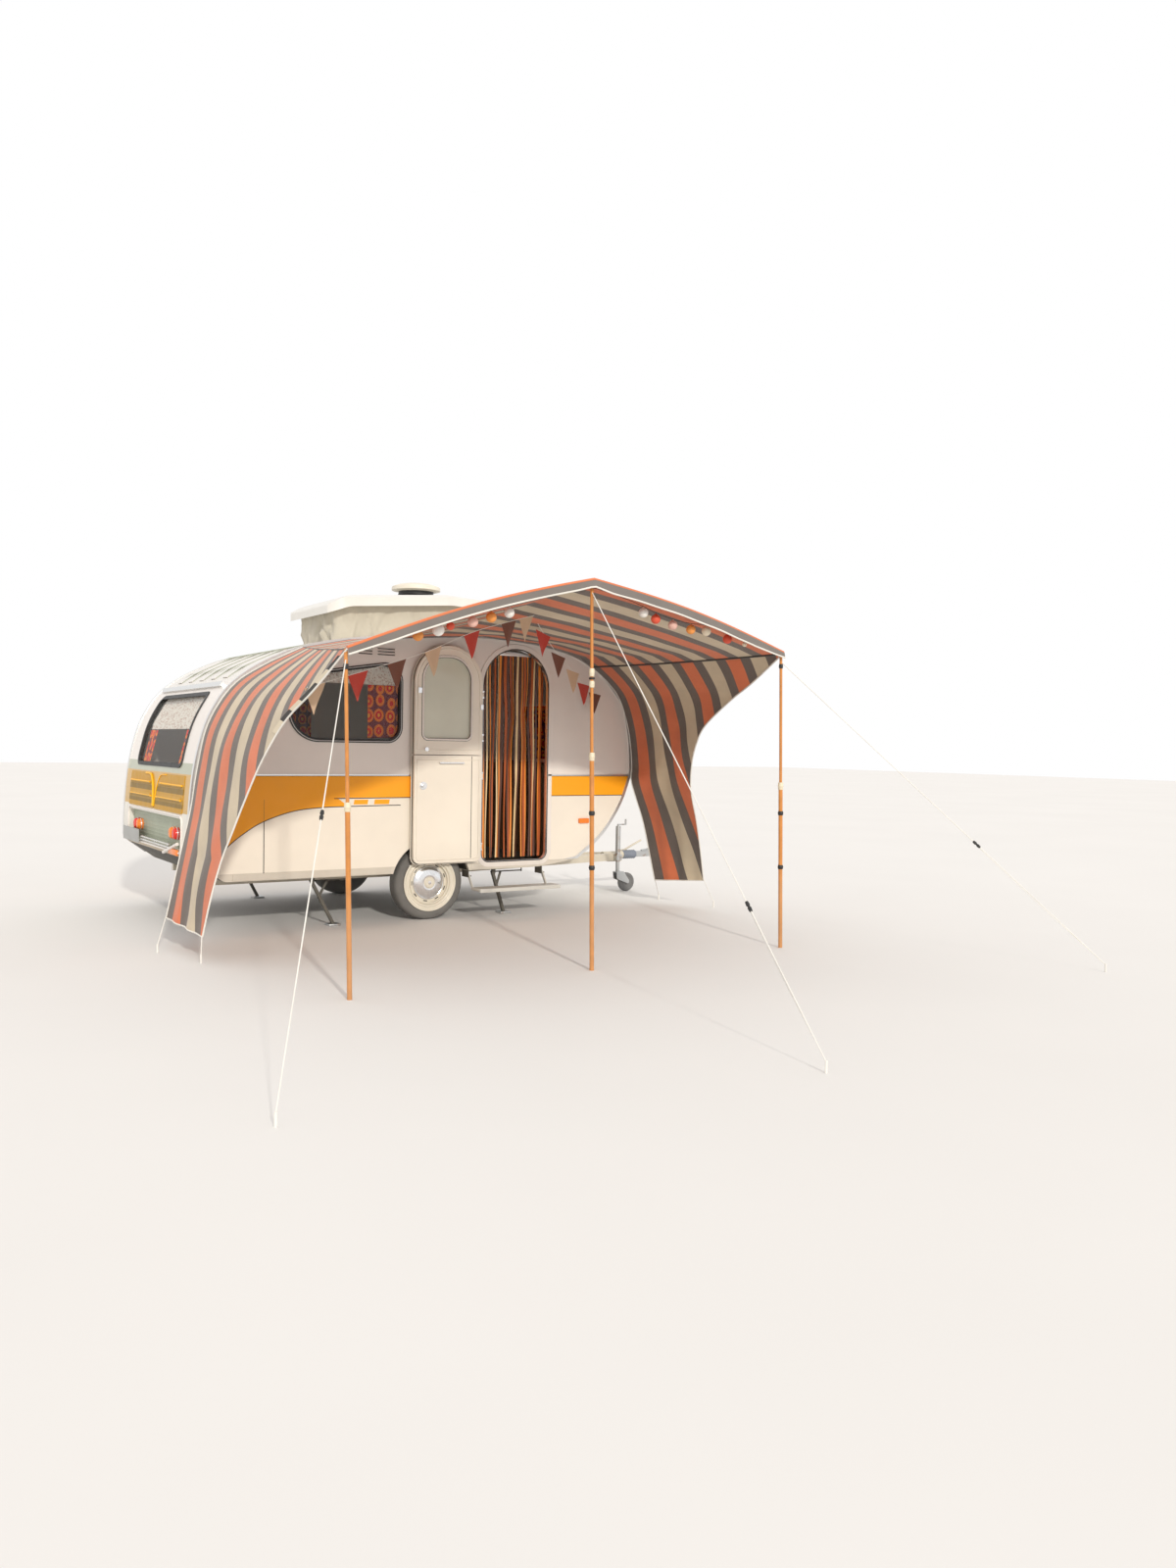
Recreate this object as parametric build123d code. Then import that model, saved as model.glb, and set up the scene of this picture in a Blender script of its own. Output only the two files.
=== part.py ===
from build123d import *
from math import atan2, cos, degrees, hypot, radians, sin, tan
import os

os.makedirs("parts", exist_ok=True)

# Millimetres. +X is the towing direction, -Y the door side and +Z up.
# The origin is on the ground, midway between the two road wheels.

# Body
HALF_WIDTH = 983
WALL = 28
SKIN = 26
FLOOR_Z = 374
REAR_SPLIT_Z = 1148
ROOF_SPLIT_REAR_Z = 1792
ROOF_SPLIT_FRONT_Z = 1985
LOWER_SPLIT_Z = 520
SEAM = 0.3

# Side outline of the body, counter-clockwise from the bottom rear: x, z
OUTLINE = [
    (-1600, 374), (980, 374), (1330, 430), (1600, 620), (1790, 900), (1880, 1150), (1868, 1430),
    (1800, 1720), (1600, 1960), (1320, 2125), (900, 2205), (400, 2230), (-700, 2137), (-1080, 2052),
    (-1400, 1895), (-1600, 1735), (-1735, 1500), (-1815, 1180), (-1845, 850), (-1850, 560),
]
ARC_SHARE = 0.46
SHARP_CORNER = 22

# Doorway and its two-part door
DOOR_X0 = 435
DOOR_WIDTH = 595
DOOR_Z0 = 440
DOOR_Z1 = 2130
DOOR_FOOT_RADIUS = 60
DOOR_GAP = 8
DOOR_LAP = 12
DOOR_SKIN = 3
DOOR_THICK = 28
DOOR_SPLIT_Z = 1281
DOOR_SPLIT_GAP = 6
HINGE_OFFSET = 15
HINGE_X = 418
HINGE_PIN_R = 4
PIN_PLAY = 0.3
DOOR_WINDOW_X0 = 114
DOOR_WINDOW_X1 = 545
DOOR_WINDOW_Z0 = 1393
DOOR_WINDOW_Z1 = 2046
FRAME_LINING = 3

# Windows: x0, x1, lower z, upper z at x0, upper z at x1, and radii from lower rear on
SIDE_WINDOW = dict(x0=-1144, x1=-276, z0=1378, z_rear=1839, z_front=1980, radii=(220, 110, 130, 160))
END_WINDOW_HALF = 655
REAR_WINDOW_Z0 = 1176
REAR_WINDOW_Z1 = 1704
FRONT_WINDOW_Z0 = 1240
FRONT_WINDOW_Z1 = 1740
WINDOW_RADIUS = 60
SEAL_LAP = 13
SEAL_INNER = 16
SEAL_PROUD = 7
PANE = 5

# Wheels
WHEEL_R = 287.5
RIM_R = 165
TYRE_WIDTH = 150
WHEEL_INSET = 105
WHEEL_Y = HALF_WIDTH - WHEEL_INSET
ARCH_GAP = 47.5
ARCH_R = WHEEL_R + ARCH_GAP
HUB_BORE_R = 18.3
STUB_R = 18

# Chassis
BEAM_HEIGHT = 66
BEAM_WIDTH = 46
SIDE_BEAM_Y = 560
SIDE_BEAM_X0 = -1560
DRAWBAR_TIP_X = 2400
DRAWBAR_TIP_Y = 62
DRAWBAR_START_X = 250
CROSS_XS = (-1450, -760, 120, 900)

# Pop-top
HATCH_X0 = -600
HATCH_X1 = 960
HATCH_HALF = 420
HATCH_RADIUS = 110
LID_X0 = -650
LID_X1 = 1120
LID_HALF = 500
LID_RADIUS = 130
LID_LIFT = 275
LID_EDGE = 68
LID_CROWN = 52
LID_TAIL = 45
LID_NOSE = 30
LID_SKIN = 22
LID_PLAN_OVER = 7
BELLOWS_FOOT_Z = 2080
BELLOWS_THICK = 14

# Steadies: x of the pivot, lean of the foot ahead of it
STEADY_INSET = 103
STEADY_Y = HALF_WIDTH - STEADY_INSET
STEADY_PIVOT_Z = 338
STEADIES = [("rear", -930, 170), ("front", 592, 105)]
STEADY_LEG_W = 26
BRACE_REACH = 140
SCREW_R = 5
PAD_HALF = 45

# Step
STEP_BEHIND_WHEEL = 12.5
STEP_X0 = WHEEL_R + STEP_BEHIND_WHEEL
STEP_X1 = 1035
STEP_HINGE_Z = 330
STEP_HINGE_OUT = 13
STEP_HINGE_Y = -HALF_WIDTH - STEP_HINGE_OUT
STEP_TREAD_Z = 249
STEP_TREAD_THICK = 12
STEP_IN = 86
STEP_OUT = 236

# Jockey wheel
JOCKEY_X = 2362
JOCKEY_Y = -128
JOCKEY_WHEEL_R = 88
JOCKEY_TRAIL = 98
JOCKEY_TUBE_R = 24
JOCKEY_TUBE_FOOT_Z = 286
JOCKEY_STEM_R = 19.1

# Coupling
COUPLING_Z = 334
BALL_X = 2880
BALL_R = 25.2

# Awning: the pole tips lie in one upright plane
FRONT_LINE_Y = -3247
FRONT_LINE_SLOPE = 0.0375
TIP_REAR = (-1660, FRONT_LINE_Y - 1660 * FRONT_LINE_SLOPE, 1862)
TIP_MIDDLE = (-70, FRONT_LINE_Y - 70 * FRONT_LINE_SLOPE, 2372)
TIP_FRONT = (1540, FRONT_LINE_Y + 1540 * FRONT_LINE_SLOPE, 2030)
CLOTH = 6


def unit(ax, ay):
    length = hypot(ax, ay)
    return ax / length, ay / length


def corner_arc(before, here, after, radius):
    """Tangent points and middle point of the arc that rounds one corner."""
    bx, by = unit(before[0] - here[0], before[1] - here[1])
    ax, ay = unit(after[0] - here[0], after[1] - here[1])
    half = atan2(abs(bx * ay - by * ax), bx * ax + by * ay) / 2
    reach = radius / tan(half)
    cx, cy = unit(bx + ax, by + ay)
    middle = radius / sin(half) - radius
    return (
        (here[0] + bx * reach, here[1] + by * reach),
        (here[0] + cx * middle, here[1] + cy * middle),
        (here[0] + ax * reach, here[1] + ay * reach),
    )


def loop(corners, place):
    """Closed wire of straight runs and tangent arcs; each corner is (u, v, radius)."""
    count = len(corners)
    stops = []
    for i, (u, v, radius) in enumerate(corners):
        before = corners[i - 1]
        after = corners[(i + 1) % count]
        if radius > 0:
            stops.append(corner_arc(before, (u, v), after, radius))
        else:
            stops.append(((u, v), None, (u, v)))
    edges = []
    for i in range(count):
        start, middle, end = stops[i]
        if middle:
            edges.append(Edge.make_three_point_arc(place(*start), place(*middle), place(*end)))
        edges.append(Edge.make_line(place(*end), place(*stops[(i + 1) % count][0])))
    return Wire(edges)


def plate_xz(corners, y0, y1):
    face = Face(loop(corners, lambda u, v: Vector(u, y0, v)))
    return Solid.extrude(face, Vector(0, y1 - y0, 0))


def plate_xy(corners, z0, z1):
    face = Face(loop(corners, lambda u, v: Vector(u, v, z0)))
    return Solid.extrude(face, Vector(0, 0, z1 - z0))


def plate_yz(corners, x0, x1):
    face = Face(loop(corners, lambda u, v: Vector(x0, u, v)))
    return Solid.extrude(face, Vector(x1 - x0, 0, 0))


def rect(u0, v0, u1, v1, radius=0):
    return [(u0, v0, radius), (u1, v0, radius), (u1, v1, radius), (u0, v1, radius)]


def block(x0, x1, y0, y1, z0, z1):
    return plate_xy(rect(x0, y0, x1, y1), z0, z1)


def rod(start, end, radius):
    start = Vector(*start)
    end = Vector(*end)
    return Solid.make_cylinder(radius, (end - start).length, Plane(origin=start, z_dir=end - start))


def beam(start, end, width, height):
    """Rectangular bar whose width lies level."""
    start = Vector(*start)
    end = Vector(*end)
    along = (end - start).normalized()
    side = Vector(0, 0, 1).cross(along).normalized()
    up = along.cross(side)
    points = [
        start + side * (su * width / 2) + up * (sv * height / 2)
        for su, sv in ((-1, -1), (1, -1), (1, 1), (-1, 1))
    ]
    edges = [Edge.make_line(points[i], points[(i + 1) % 4]) for i in range(4)]
    return Solid.extrude(Face(Wire(edges)), end - start)


def solids_of(*shapes):
    found = []
    for shape in shapes:
        if isinstance(shape, (list, tuple)):
            found.extend(solids_of(*shape))
        else:
            found.extend(shape.solids())
    return found


def fuse(first, *others):
    joined = first
    for other in others:
        joined = joined + other
    return joined


def mirrored(shapes):
    return [s.mirror(Plane.XZ) for s in solids_of(shapes)]


def save(name, *shapes):
    found = solids_of(*shapes)
    export_step(Compound(found) if len(found) > 1 else found[0], f"parts/{name}.step")
    return found


def body_corners(inset=0):
    """Corners of the body outline moved inwards, with arcs that stay concentric."""
    count = len(OUTLINE)
    corners = []
    for i, here in enumerate(OUTLINE):
        before = OUTLINE[i - 1]
        after = OUTLINE[(i + 1) % count]
        run_in = hypot(here[0] - before[0], here[1] - before[1])
        run_out = hypot(after[0] - here[0], after[1] - here[1])
        dx_in, dz_in = (here[0] - before[0]) / run_in, (here[1] - before[1]) / run_in
        dx_out, dz_out = (after[0] - here[0]) / run_out, (after[1] - here[1]) / run_out
        turn = atan2(dx_in * dz_out - dz_in * dx_out, dx_in * dx_out + dz_in * dz_out)
        if degrees(turn) > SHARP_CORNER:
            radius = 60
        else:
            radius = ARC_SHARE * min(run_in, run_out) / tan(turn / 2)
        nx, nz = -(dz_in + dz_out), dx_in + dx_out
        scale = inset / (1 + dx_in * dx_out + dz_in * dz_out)
        corners.append((here[0] + nx * scale, here[1] + nz * scale, max(radius - inset, 1)))
    return corners


def body_slab(y0, y1, inset=0):
    return plate_xz(body_corners(inset), y0, y1)


def body_band(y0, y1, outer, inner):
    """Strip that follows the outline between two insets."""
    return body_slab(y0, y1, outer) - body_slab(y0 - 1, y1 + 1, inner)


def outline_z(x):
    """Height of the roof outline's straight runs at x."""
    top = [p for p in OUTLINE if p[1] > 1900]
    for (xa, za), (xb, zb) in zip(top, top[1:]):
        if xb <= x <= xa:
            return za + (zb - za) * (x - xa) / (xb - xa)
    return top[0][1]


OUTER_Y = -HALF_WIDTH
INNER_Y = -HALF_WIDTH + WALL
DOOR_X1 = DOOR_X0 + DOOR_WIDTH

FAR = 3000
REAR_HALF = block(-FAR, 0, -FAR, FAR, 0, FAR)
FRONT_HALF = block(0, FAR, -FAR, FAR, 0, FAR)


def doorway(gap=0.0):
    """Arched outline of the doorway, shrunk by a gap all round."""
    radius = DOOR_WIDTH / 2 - gap - 1
    foot = DOOR_FOOT_RADIUS - gap
    return [
        (DOOR_X0 + gap, DOOR_Z0 + gap, foot), (DOOR_X1 - gap, DOOR_Z0 + gap, foot),
        (DOOR_X1 - gap, DOOR_Z1 - gap, radius), (DOOR_X0 + gap, DOOR_Z1 - gap, radius),
    ]


def side_window(grow=0.0):
    w = SIDE_WINDOW
    rise = grow * (w["z_front"] - w["z_rear"]) / (w["x1"] - w["x0"])
    points = [
        (w["x0"] - grow, w["z0"] - grow), (w["x1"] + grow, w["z0"] - grow),
        (w["x1"] + grow, w["z_front"] + grow + rise), (w["x0"] - grow, w["z_rear"] + grow - rise),
    ]
    return [(x, z, r + grow) for (x, z), r in zip(points, w["radii"])]


# Side walls, floor, roof and end walls

VENT_ROWS = 3
VENT_PITCH = 22
VENT_SLOT = 8
VENT_Z = 2024
VENT_GROUPS = ((-622, -511), (-470, -329))


def side_wall(with_door):
    wall = body_slab(OUTER_Y, INNER_Y)
    cuts = [
        plate_xz(side_window(), OUTER_Y - 5, INNER_Y + 5),
        rod((0, OUTER_Y - 5, WHEEL_R), (0, INNER_Y + 5, WHEEL_R), ARCH_R),
    ]
    for x0, x1 in VENT_GROUPS:
        for row in range(VENT_ROWS):
            z = VENT_Z + row * VENT_PITCH
            cuts.append(plate_xz(rect(x0, z, x1, z + VENT_SLOT, 3), OUTER_Y - 5, INNER_Y + 5))
    if with_door:
        cuts.append(plate_xz(doorway(-FRAME_LINING), OUTER_Y - 5, INNER_Y + 5))
    for cut in cuts:
        wall = wall - cut
    return wall


save("side_wall_near", side_wall(True))
save("side_wall_far", mirrored(side_wall(False)))

INSIDE = HALF_WIDTH - WALL
shell = body_band(-INSIDE, INSIDE, 0, SKIN)

WHEEL_WELL_X = ARCH_R + 6
WHEEL_WELL_Y = WHEEL_Y - 126
floor_panel = shell & block(-FAR, FAR, -INSIDE, INSIDE, 0, LOWER_SPLIT_Z)
for side in (-1, 1):
    y_low, y_high = sorted((side * WHEEL_WELL_Y, side * FAR))
    floor_panel = floor_panel - block(-WHEEL_WELL_X, WHEEL_WELL_X, y_low, y_high, 0, FLOOR_Z + 200)
save("floor_panel", floor_panel)


def end_zone(rear, z0, z1):
    x0, x1 = (-FAR, 0) if rear else (0, FAR)
    return block(x0, x1, -INSIDE, INSIDE, z0, z1)


END_ZONE_X = 1200


def end_window(rear, z0, z1, grow=0.0):
    x0, x1 = (-FAR, -END_ZONE_X) if rear else (END_ZONE_X, FAR)
    half = END_WINDOW_HALF + grow
    return plate_yz(rect(-half, z0 - grow, half, z1 + grow, WINDOW_RADIUS + grow), x0, x1)


rear_window_cut = end_window(True, REAR_WINDOW_Z0, REAR_WINDOW_Z1)
front_window_cut = end_window(False, FRONT_WINDOW_Z0, FRONT_WINDOW_Z1)
save("rear_wall_upper", (shell & end_zone(True, REAR_SPLIT_Z, ROOF_SPLIT_REAR_Z)) - rear_window_cut)
save("front_wall", (shell & end_zone(False, LOWER_SPLIT_Z, ROOF_SPLIT_FRONT_Z)) - front_window_cut)

# Lower rear wall: a lamp recess under two pressed fields

RECESS_HALF = 800
RECESS_Z0 = 572
RECESS_Z1 = 822
RECESS_DEPTH = 40
RECESS_RIM = 14
RECESS_RADIUS = 50
REAR_X = -1850
REAR_ZONE_X = -1000
TRAY_BACK = 8
LAMP_Y = 545
LAMP_SPREAD = 47
LAMP_Z = 694
LAMP_R = 42
LAMP_DEPTH = 46

rear_lower = shell & end_zone(True, LOWER_SPLIT_Z, REAR_SPLIT_Z)


def recess_plan(inset, radius):
    half = RECESS_HALF - inset
    return rect(-half, RECESS_Z0 + inset, half, RECESS_Z1 - inset, radius)


recess = plate_yz(recess_plan(0, RECESS_RADIUS), -FAR, REAR_ZONE_X)
rear_lower = rear_lower - recess
tray_x = REAR_X + RECESS_DEPTH
tray_outer = plate_yz(recess_plan(0, RECESS_RADIUS), REAR_X + TRAY_BACK, tray_x + TRAY_BACK)
tray_inner = plate_yz(recess_plan(RECESS_RIM, RECESS_RADIUS - 12), REAR_X - 20, tray_x)
save("rear_wall_lower", rear_lower + (tray_outer - tray_inner))

FIELD_TOP_Z = 1112
FIELD_LOW_Z = 842
FIELD_START_Y = 14
FIELD_END_Y = 800
FIELD_RADIUS = 12
FIELD_TOP_Y = 150
FIELD_PROUD = 5
FIELD_RIBS = (925, 1022)
RIB_HEIGHT = 46
RIB_PROUD = 16

field_skin = body_band(-INSIDE, INSIDE, -FIELD_PROUD, 0) & REAR_HALF
fields = []
for side in (-1, 1):
    edge = [
        (side * FIELD_START_Y, FIELD_LOW_Z, 0),
        (side * FIELD_END_Y, FIELD_LOW_Z, FIELD_RADIUS), (side * FIELD_END_Y, FIELD_TOP_Z, FIELD_RADIUS),
        (side * FIELD_TOP_Y, FIELD_TOP_Z, 90), (side * 42, FIELD_LOW_Z + 130, 160),
    ]
    if side < 0:
        edge.reverse()
    field = field_skin & plate_yz(edge, -FAR, REAR_ZONE_X)
    for rib_z in FIELD_RIBS:
        x_back = -1838 if rib_z < 1000 else -1826
        wedge = [(x_back, rib_z), (x_back - RIB_PROUD, rib_z + 6), (x_back + 4, rib_z + RIB_HEIGHT)]
        y_low, y_high = sorted((side * 130, side * (FIELD_END_Y - 45)))
        field = field + plate_xz([(x, z, 0) for x, z in wedge], y_low, y_high)
    fields.extend(solids_of(field - body_slab(-INSIDE, INSIDE, 0)))
save("rear_pressed_fields", fields)

lamps = []
for side in (-1, 1):
    for spread in (-LAMP_SPREAD, LAMP_SPREAD):
        y = side * LAMP_Y + spread
        x_mid = tray_x - LAMP_DEPTH * 0.4
        base = rod((tray_x, y, LAMP_Z), (x_mid, y, LAMP_Z), LAMP_R + 3)
        lens_plane = Plane((x_mid, y, LAMP_Z), z_dir=(-1, 0, 0))
        lens = Solid.make_cone(LAMP_R, LAMP_R * 0.72, LAMP_DEPTH * 0.6, lens_plane)
        lamps.append(base + lens)
save("rear_lamps", lamps)

BAR_ZS = (590, 612)
bars = []
for z in BAR_ZS:
    bars.append(plate_yz(rect(-520, z - 5, 330, z + 5, 3), REAR_X - 14, REAR_X - 4))
for y in (-440, -60, 260):
    bars.append(block(REAR_X - 4, REAR_X + TRAY_BACK, y - 8, y + 8, 586, 616))
save("rear_bars", fuse(*bars))
PLATE_BACK = REAR_X - 20
plate_parts = [plate_yz(rect(350, 556, 870, 662, 8), PLATE_BACK - 6, PLATE_BACK)]
for y in (382, 710):
    plate_parts.append(block(PLATE_BACK, REAR_X + TRAY_BACK, y - 10, y + 10, 578, 588))
save("number_plate", *plate_parts)

# Roof with its hatch opening and the pressed ribs of the rear slope

RIB_YS = (-620, -310, 0, 310, 620)
ROOF_RIB_WIDTH = 110
ROOF_RIB_PROUD = 7
ROOF_RIB_START_X = -1500
ROOF_RIB_END_X = -860
roof = (shell & end_zone(True, ROOF_SPLIT_REAR_Z, FAR)) + (shell & end_zone(False, ROOF_SPLIT_FRONT_Z, FAR))
hatch = plate_xy(rect(HATCH_X0, -HATCH_HALF, HATCH_X1, HATCH_HALF, HATCH_RADIUS), 1900, 2400)
roof = roof - hatch
for y in RIB_YS:
    rib = body_band(y - ROOF_RIB_WIDTH / 2, y + ROOF_RIB_WIDTH / 2, -ROOF_RIB_PROUD, 2)
    zone = block(ROOF_RIB_START_X, ROOF_RIB_END_X, -FAR, FAR, ROOF_SPLIT_REAR_Z + 30, FAR)
    roof = roof + (rib & zone)
save("roof_panel", roof)

# Awning rails on both sides and the gutter over the rear window

RAIL_PROUD = 8
RAIL_DEPTH = 20
RAIL_OVER = 6
RAIL_FOOT_Z = 430


def awning_rail():
    flange = body_band(OUTER_Y - RAIL_PROUD, OUTER_Y, -RAIL_OVER, RAIL_DEPTH)
    cap = body_band(OUTER_Y, INNER_Y, -RAIL_OVER, 0)
    rail = flange + cap
    return rail & block(-FAR, FAR, -FAR, FAR, RAIL_FOOT_Z, FAR)


gutter = plate_xz([(-1592, 1752, 0), (-1571, 1742, 0), (-1556, 1764, 0), (-1575, 1786, 0)], -820, 820)
gutter = gutter - body_slab(-900, 900, 0)
rail = awning_rail()
save("awning_rails", rail, mirrored(rail), gutter)

# Window seals and panes


def seal_xz(y_out, y_in):
    lip = plate_xz(side_window(SEAL_LAP), y_out - SEAL_PROUD, y_out)
    core = plate_xz(side_window(), y_out, y_in)
    return (lip + core) - plate_xz(side_window(-SEAL_INNER), y_out - 20, y_in + 5)


def end_seal(rear, z0, z1):
    lip = body_band(-INSIDE, INSIDE, -SEAL_PROUD, 0) & end_window(rear, z0, z1, SEAL_LAP)
    core = body_band(-INSIDE, INSIDE, 0, SKIN) & end_window(rear, z0, z1)
    return (lip + core) - end_window(rear, z0, z1, -SEAL_INNER)


def end_pane(rear, z0, z1):
    return body_band(-INSIDE, INSIDE, 8, 8 + PANE) & end_window(rear, z0, z1, -SEAL_INNER)


near_seal = seal_xz(OUTER_Y, INNER_Y)
near_pane = plate_xz(side_window(-SEAL_INNER), OUTER_Y + 8, OUTER_Y + 8 + PANE)
save("window_seals", near_seal, mirrored(near_seal), end_seal(True, REAR_WINDOW_Z0, REAR_WINDOW_Z1),
     end_seal(False, FRONT_WINDOW_Z0, FRONT_WINDOW_Z1))
save("window_panes", near_pane, mirrored(near_pane), end_pane(True, REAR_WINDOW_Z0, REAR_WINDOW_Z1),
     end_pane(False, FRONT_WINDOW_Z0, FRONT_WINDOW_Z1))

# Wheel boxes over the tyres, inside the cabin

WELL_SKIN = 6
well_face = ARCH_R + WELL_SKIN


def wheel_box():
    outer = rod((0, INNER_Y, WHEEL_R), (0, -WHEEL_WELL_Y, WHEEL_R), well_face)
    inner = rod((0, INNER_Y - 5, WHEEL_R), (0, -WHEEL_WELL_Y - WELL_SKIN, WHEEL_R), ARCH_R)
    return (outer - inner) & block(-FAR, FAR, -FAR, FAR, FLOOR_Z, FAR)


well = wheel_box()
save("wheel_boxes", well, mirrored(well))

# Doorway frame with its sill, and the hinge posts that the door leaves turn on

HINGE_ZS = (560, 1120, 1420, 1760)
HINGE_HEIGHT = 60
HINGE_EAR = 12
LINING_END = INNER_Y + 6
lining = plate_xz(doorway(-FRAME_LINING), OUTER_Y - 2, LINING_END)
lining = lining - plate_xz(doorway(), OUTER_Y - 9, INNER_Y + 9)
sill = block(DOOR_X0 + 60, DOOR_X1 - 60, LINING_END, INNER_Y + 50, DOOR_Z0 - 12, DOOR_Z0)
HINGE_Y = OUTER_Y - HINGE_OFFSET
posts = []
for z in HINGE_ZS:
    foot_z, head_z = z - HINGE_HEIGHT / 2, z + HINGE_HEIGHT / 2
    post = rod((HINGE_X, HINGE_Y, foot_z), (HINGE_X, HINGE_Y, head_z), HINGE_PIN_R)
    for z0 in (foot_z, head_z - HINGE_EAR):
        post = post + block(HINGE_X - 9, HINGE_X + 9, HINGE_Y - 7, OUTER_Y, z0, z0 + HINGE_EAR)
    posts.append(post)
save("door_frame", lining, sill, posts)

# Stable door: built shut, then swung half a turn about its hinge line

OPEN = Location((2 * HINGE_X, 2 * HINGE_Y, 0), (0, 0, 180))
LAP_Y0 = OUTER_Y - 5 - DOOR_SKIN
LEAF_IN_Y = OUTER_Y + DOOR_THICK
upper_zone = block(-FAR, FAR, -FAR, FAR, DOOR_SPLIT_Z + DOOR_SPLIT_GAP / 2, FAR)
lower_zone = block(-FAR, FAR, -FAR, FAR, 0, DOOR_SPLIT_Z - DOOR_SPLIT_GAP / 2)
lap = plate_xz(doorway(DOOR_GAP - DOOR_LAP), LAP_Y0, LAP_Y0 + DOOR_SKIN)
leaf = plate_xz(doorway(DOOR_GAP), LAP_Y0 + DOOR_SKIN, LEAF_IN_Y) + lap


def door_window(grow=0.0):
    x0, x1 = HINGE_X + DOOR_WINDOW_X0 - grow, HINGE_X + DOOR_WINDOW_X1 + grow
    z0, z1 = DOOR_WINDOW_Z0 - grow, DOOR_WINDOW_Z1 + grow
    return [(x0, z0, 55 + grow), (x1, z0, 55 + grow), (x1, z1, 190 + grow), (x0, z1, 190 + grow)]


upper_leaf = (leaf & upper_zone) - plate_xz(door_window(), LAP_Y0 - 5, LEAF_IN_Y + 5)
lower_leaf = leaf & lower_zone
knuckles = []
KNUCKLE_R = 8
for z in HINGE_ZS:
    low = z - HINGE_HEIGHT / 2 + 12.5
    high = z + HINGE_HEIGHT / 2 - 12.5
    barrel = rod((HINGE_X, HINGE_Y, low), (HINGE_X, HINGE_Y, high), KNUCKLE_R)
    wing = block(HINGE_X, HINGE_X + 34, HINGE_Y - 5, LAP_Y0, low, high)
    bore = rod((HINGE_X, HINGE_Y, low - 1), (HINGE_X, HINGE_Y, high + 1), HINGE_PIN_R + PIN_PLAY)
    knuckles.append((z, (barrel + wing) - bore))
for z, knuckle in knuckles:
    if z > DOOR_SPLIT_Z:
        upper_leaf = upper_leaf + knuckle
    else:
        lower_leaf = lower_leaf + knuckle
save("door_upper_leaf", [s.moved(OPEN) for s in solids_of(upper_leaf)])
save("door_lower_leaf", [s.moved(OPEN) for s in solids_of(lower_leaf)])

PANE_LIP = 14
pane_ring = plate_xz(door_window(), LAP_Y0 - 2, LEAF_IN_Y + 6)
pane_ring = pane_ring - plate_xz(door_window(-PANE_LIP), LAP_Y0 - 9, LEAF_IN_Y + 9)
pane = plate_xz(door_window(-PANE_LIP), OUTER_Y + 8, OUTER_Y + 8 + PANE)
save("door_window_ring", [s.moved(OPEN) for s in solids_of(pane_ring)])
save("door_window_pane", [s.moved(OPEN) for s in solids_of(pane)])


def leaf_x(open_x):
    """x in the shut position of a fitting measured on the open door."""
    return 2 * HINGE_X - open_x


upper_fittings = [
    rod((leaf_x(-90), LEAF_IN_Y, 1325), (leaf_x(-90), LEAF_IN_Y + 16, 1325), 16),
    block(leaf_x(-136), leaf_x(-164), LEAF_IN_Y, LEAF_IN_Y + 14, 1752, 1792),
    block(leaf_x(394), leaf_x(372), LEAF_IN_Y, LEAF_IN_Y + 14, 1640, 1680),
]
bar_z = 1222
lower_fittings = [
    fuse(
        block(leaf_x(230), leaf_x(20), LEAF_IN_Y + 14, LEAF_IN_Y + 24, bar_z - 5, bar_z + 5),
        block(leaf_x(222), leaf_x(206), LEAF_IN_Y, LEAF_IN_Y + 14, bar_z - 5, bar_z + 5),
        block(leaf_x(44), leaf_x(28), LEAF_IN_Y, LEAF_IN_Y + 14, bar_z - 5, bar_z + 5),
    ),
    fuse(
        rod((leaf_x(-112), LEAF_IN_Y, 1046), (leaf_x(-112), LEAF_IN_Y + 8, 1046), 30),
        rod((leaf_x(-112), LEAF_IN_Y + 8, 1046), (leaf_x(-112), LEAF_IN_Y + 30, 1046), 17),
    ),
]
save("door_upper_fittings", [s.moved(OPEN) for s in solids_of(upper_fittings)])
save("door_lower_fittings", [s.moved(OPEN) for s in solids_of(lower_fittings)])

# Chassis: ladder frame that narrows to the drawbar

beam_z = FLOOR_Z - BEAM_HEIGHT / 2
frame_parts = []
for side in (-1, 1):
    y = side * SIDE_BEAM_Y
    turn_in = (DRAWBAR_START_X, y, beam_z)
    tip = (DRAWBAR_TIP_X, side * DRAWBAR_TIP_Y, COUPLING_Z - 10)
    back = (SIDE_BEAM_X0, y, beam_z)
    frame_parts.append(beam(back, (DRAWBAR_START_X + 20, y, beam_z), BEAM_WIDTH, BEAM_HEIGHT))
    frame_parts.append(beam(turn_in, tip, BEAM_WIDTH, BEAM_HEIGHT))
for x in CROSS_XS:
    share = (DRAWBAR_TIP_X - x) / (DRAWBAR_TIP_X - DRAWBAR_START_X)
    reach = SIDE_BEAM_Y * min(1, share)
    frame_parts.append(beam((x, -reach, beam_z), (x, reach, beam_z), BEAM_WIDTH, BEAM_HEIGHT - 8))
chassis = fuse(*frame_parts) - block(-FAR, 1000, -FAR, FAR, FLOOR_Z, FAR)
save("chassis_frame", chassis)

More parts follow.
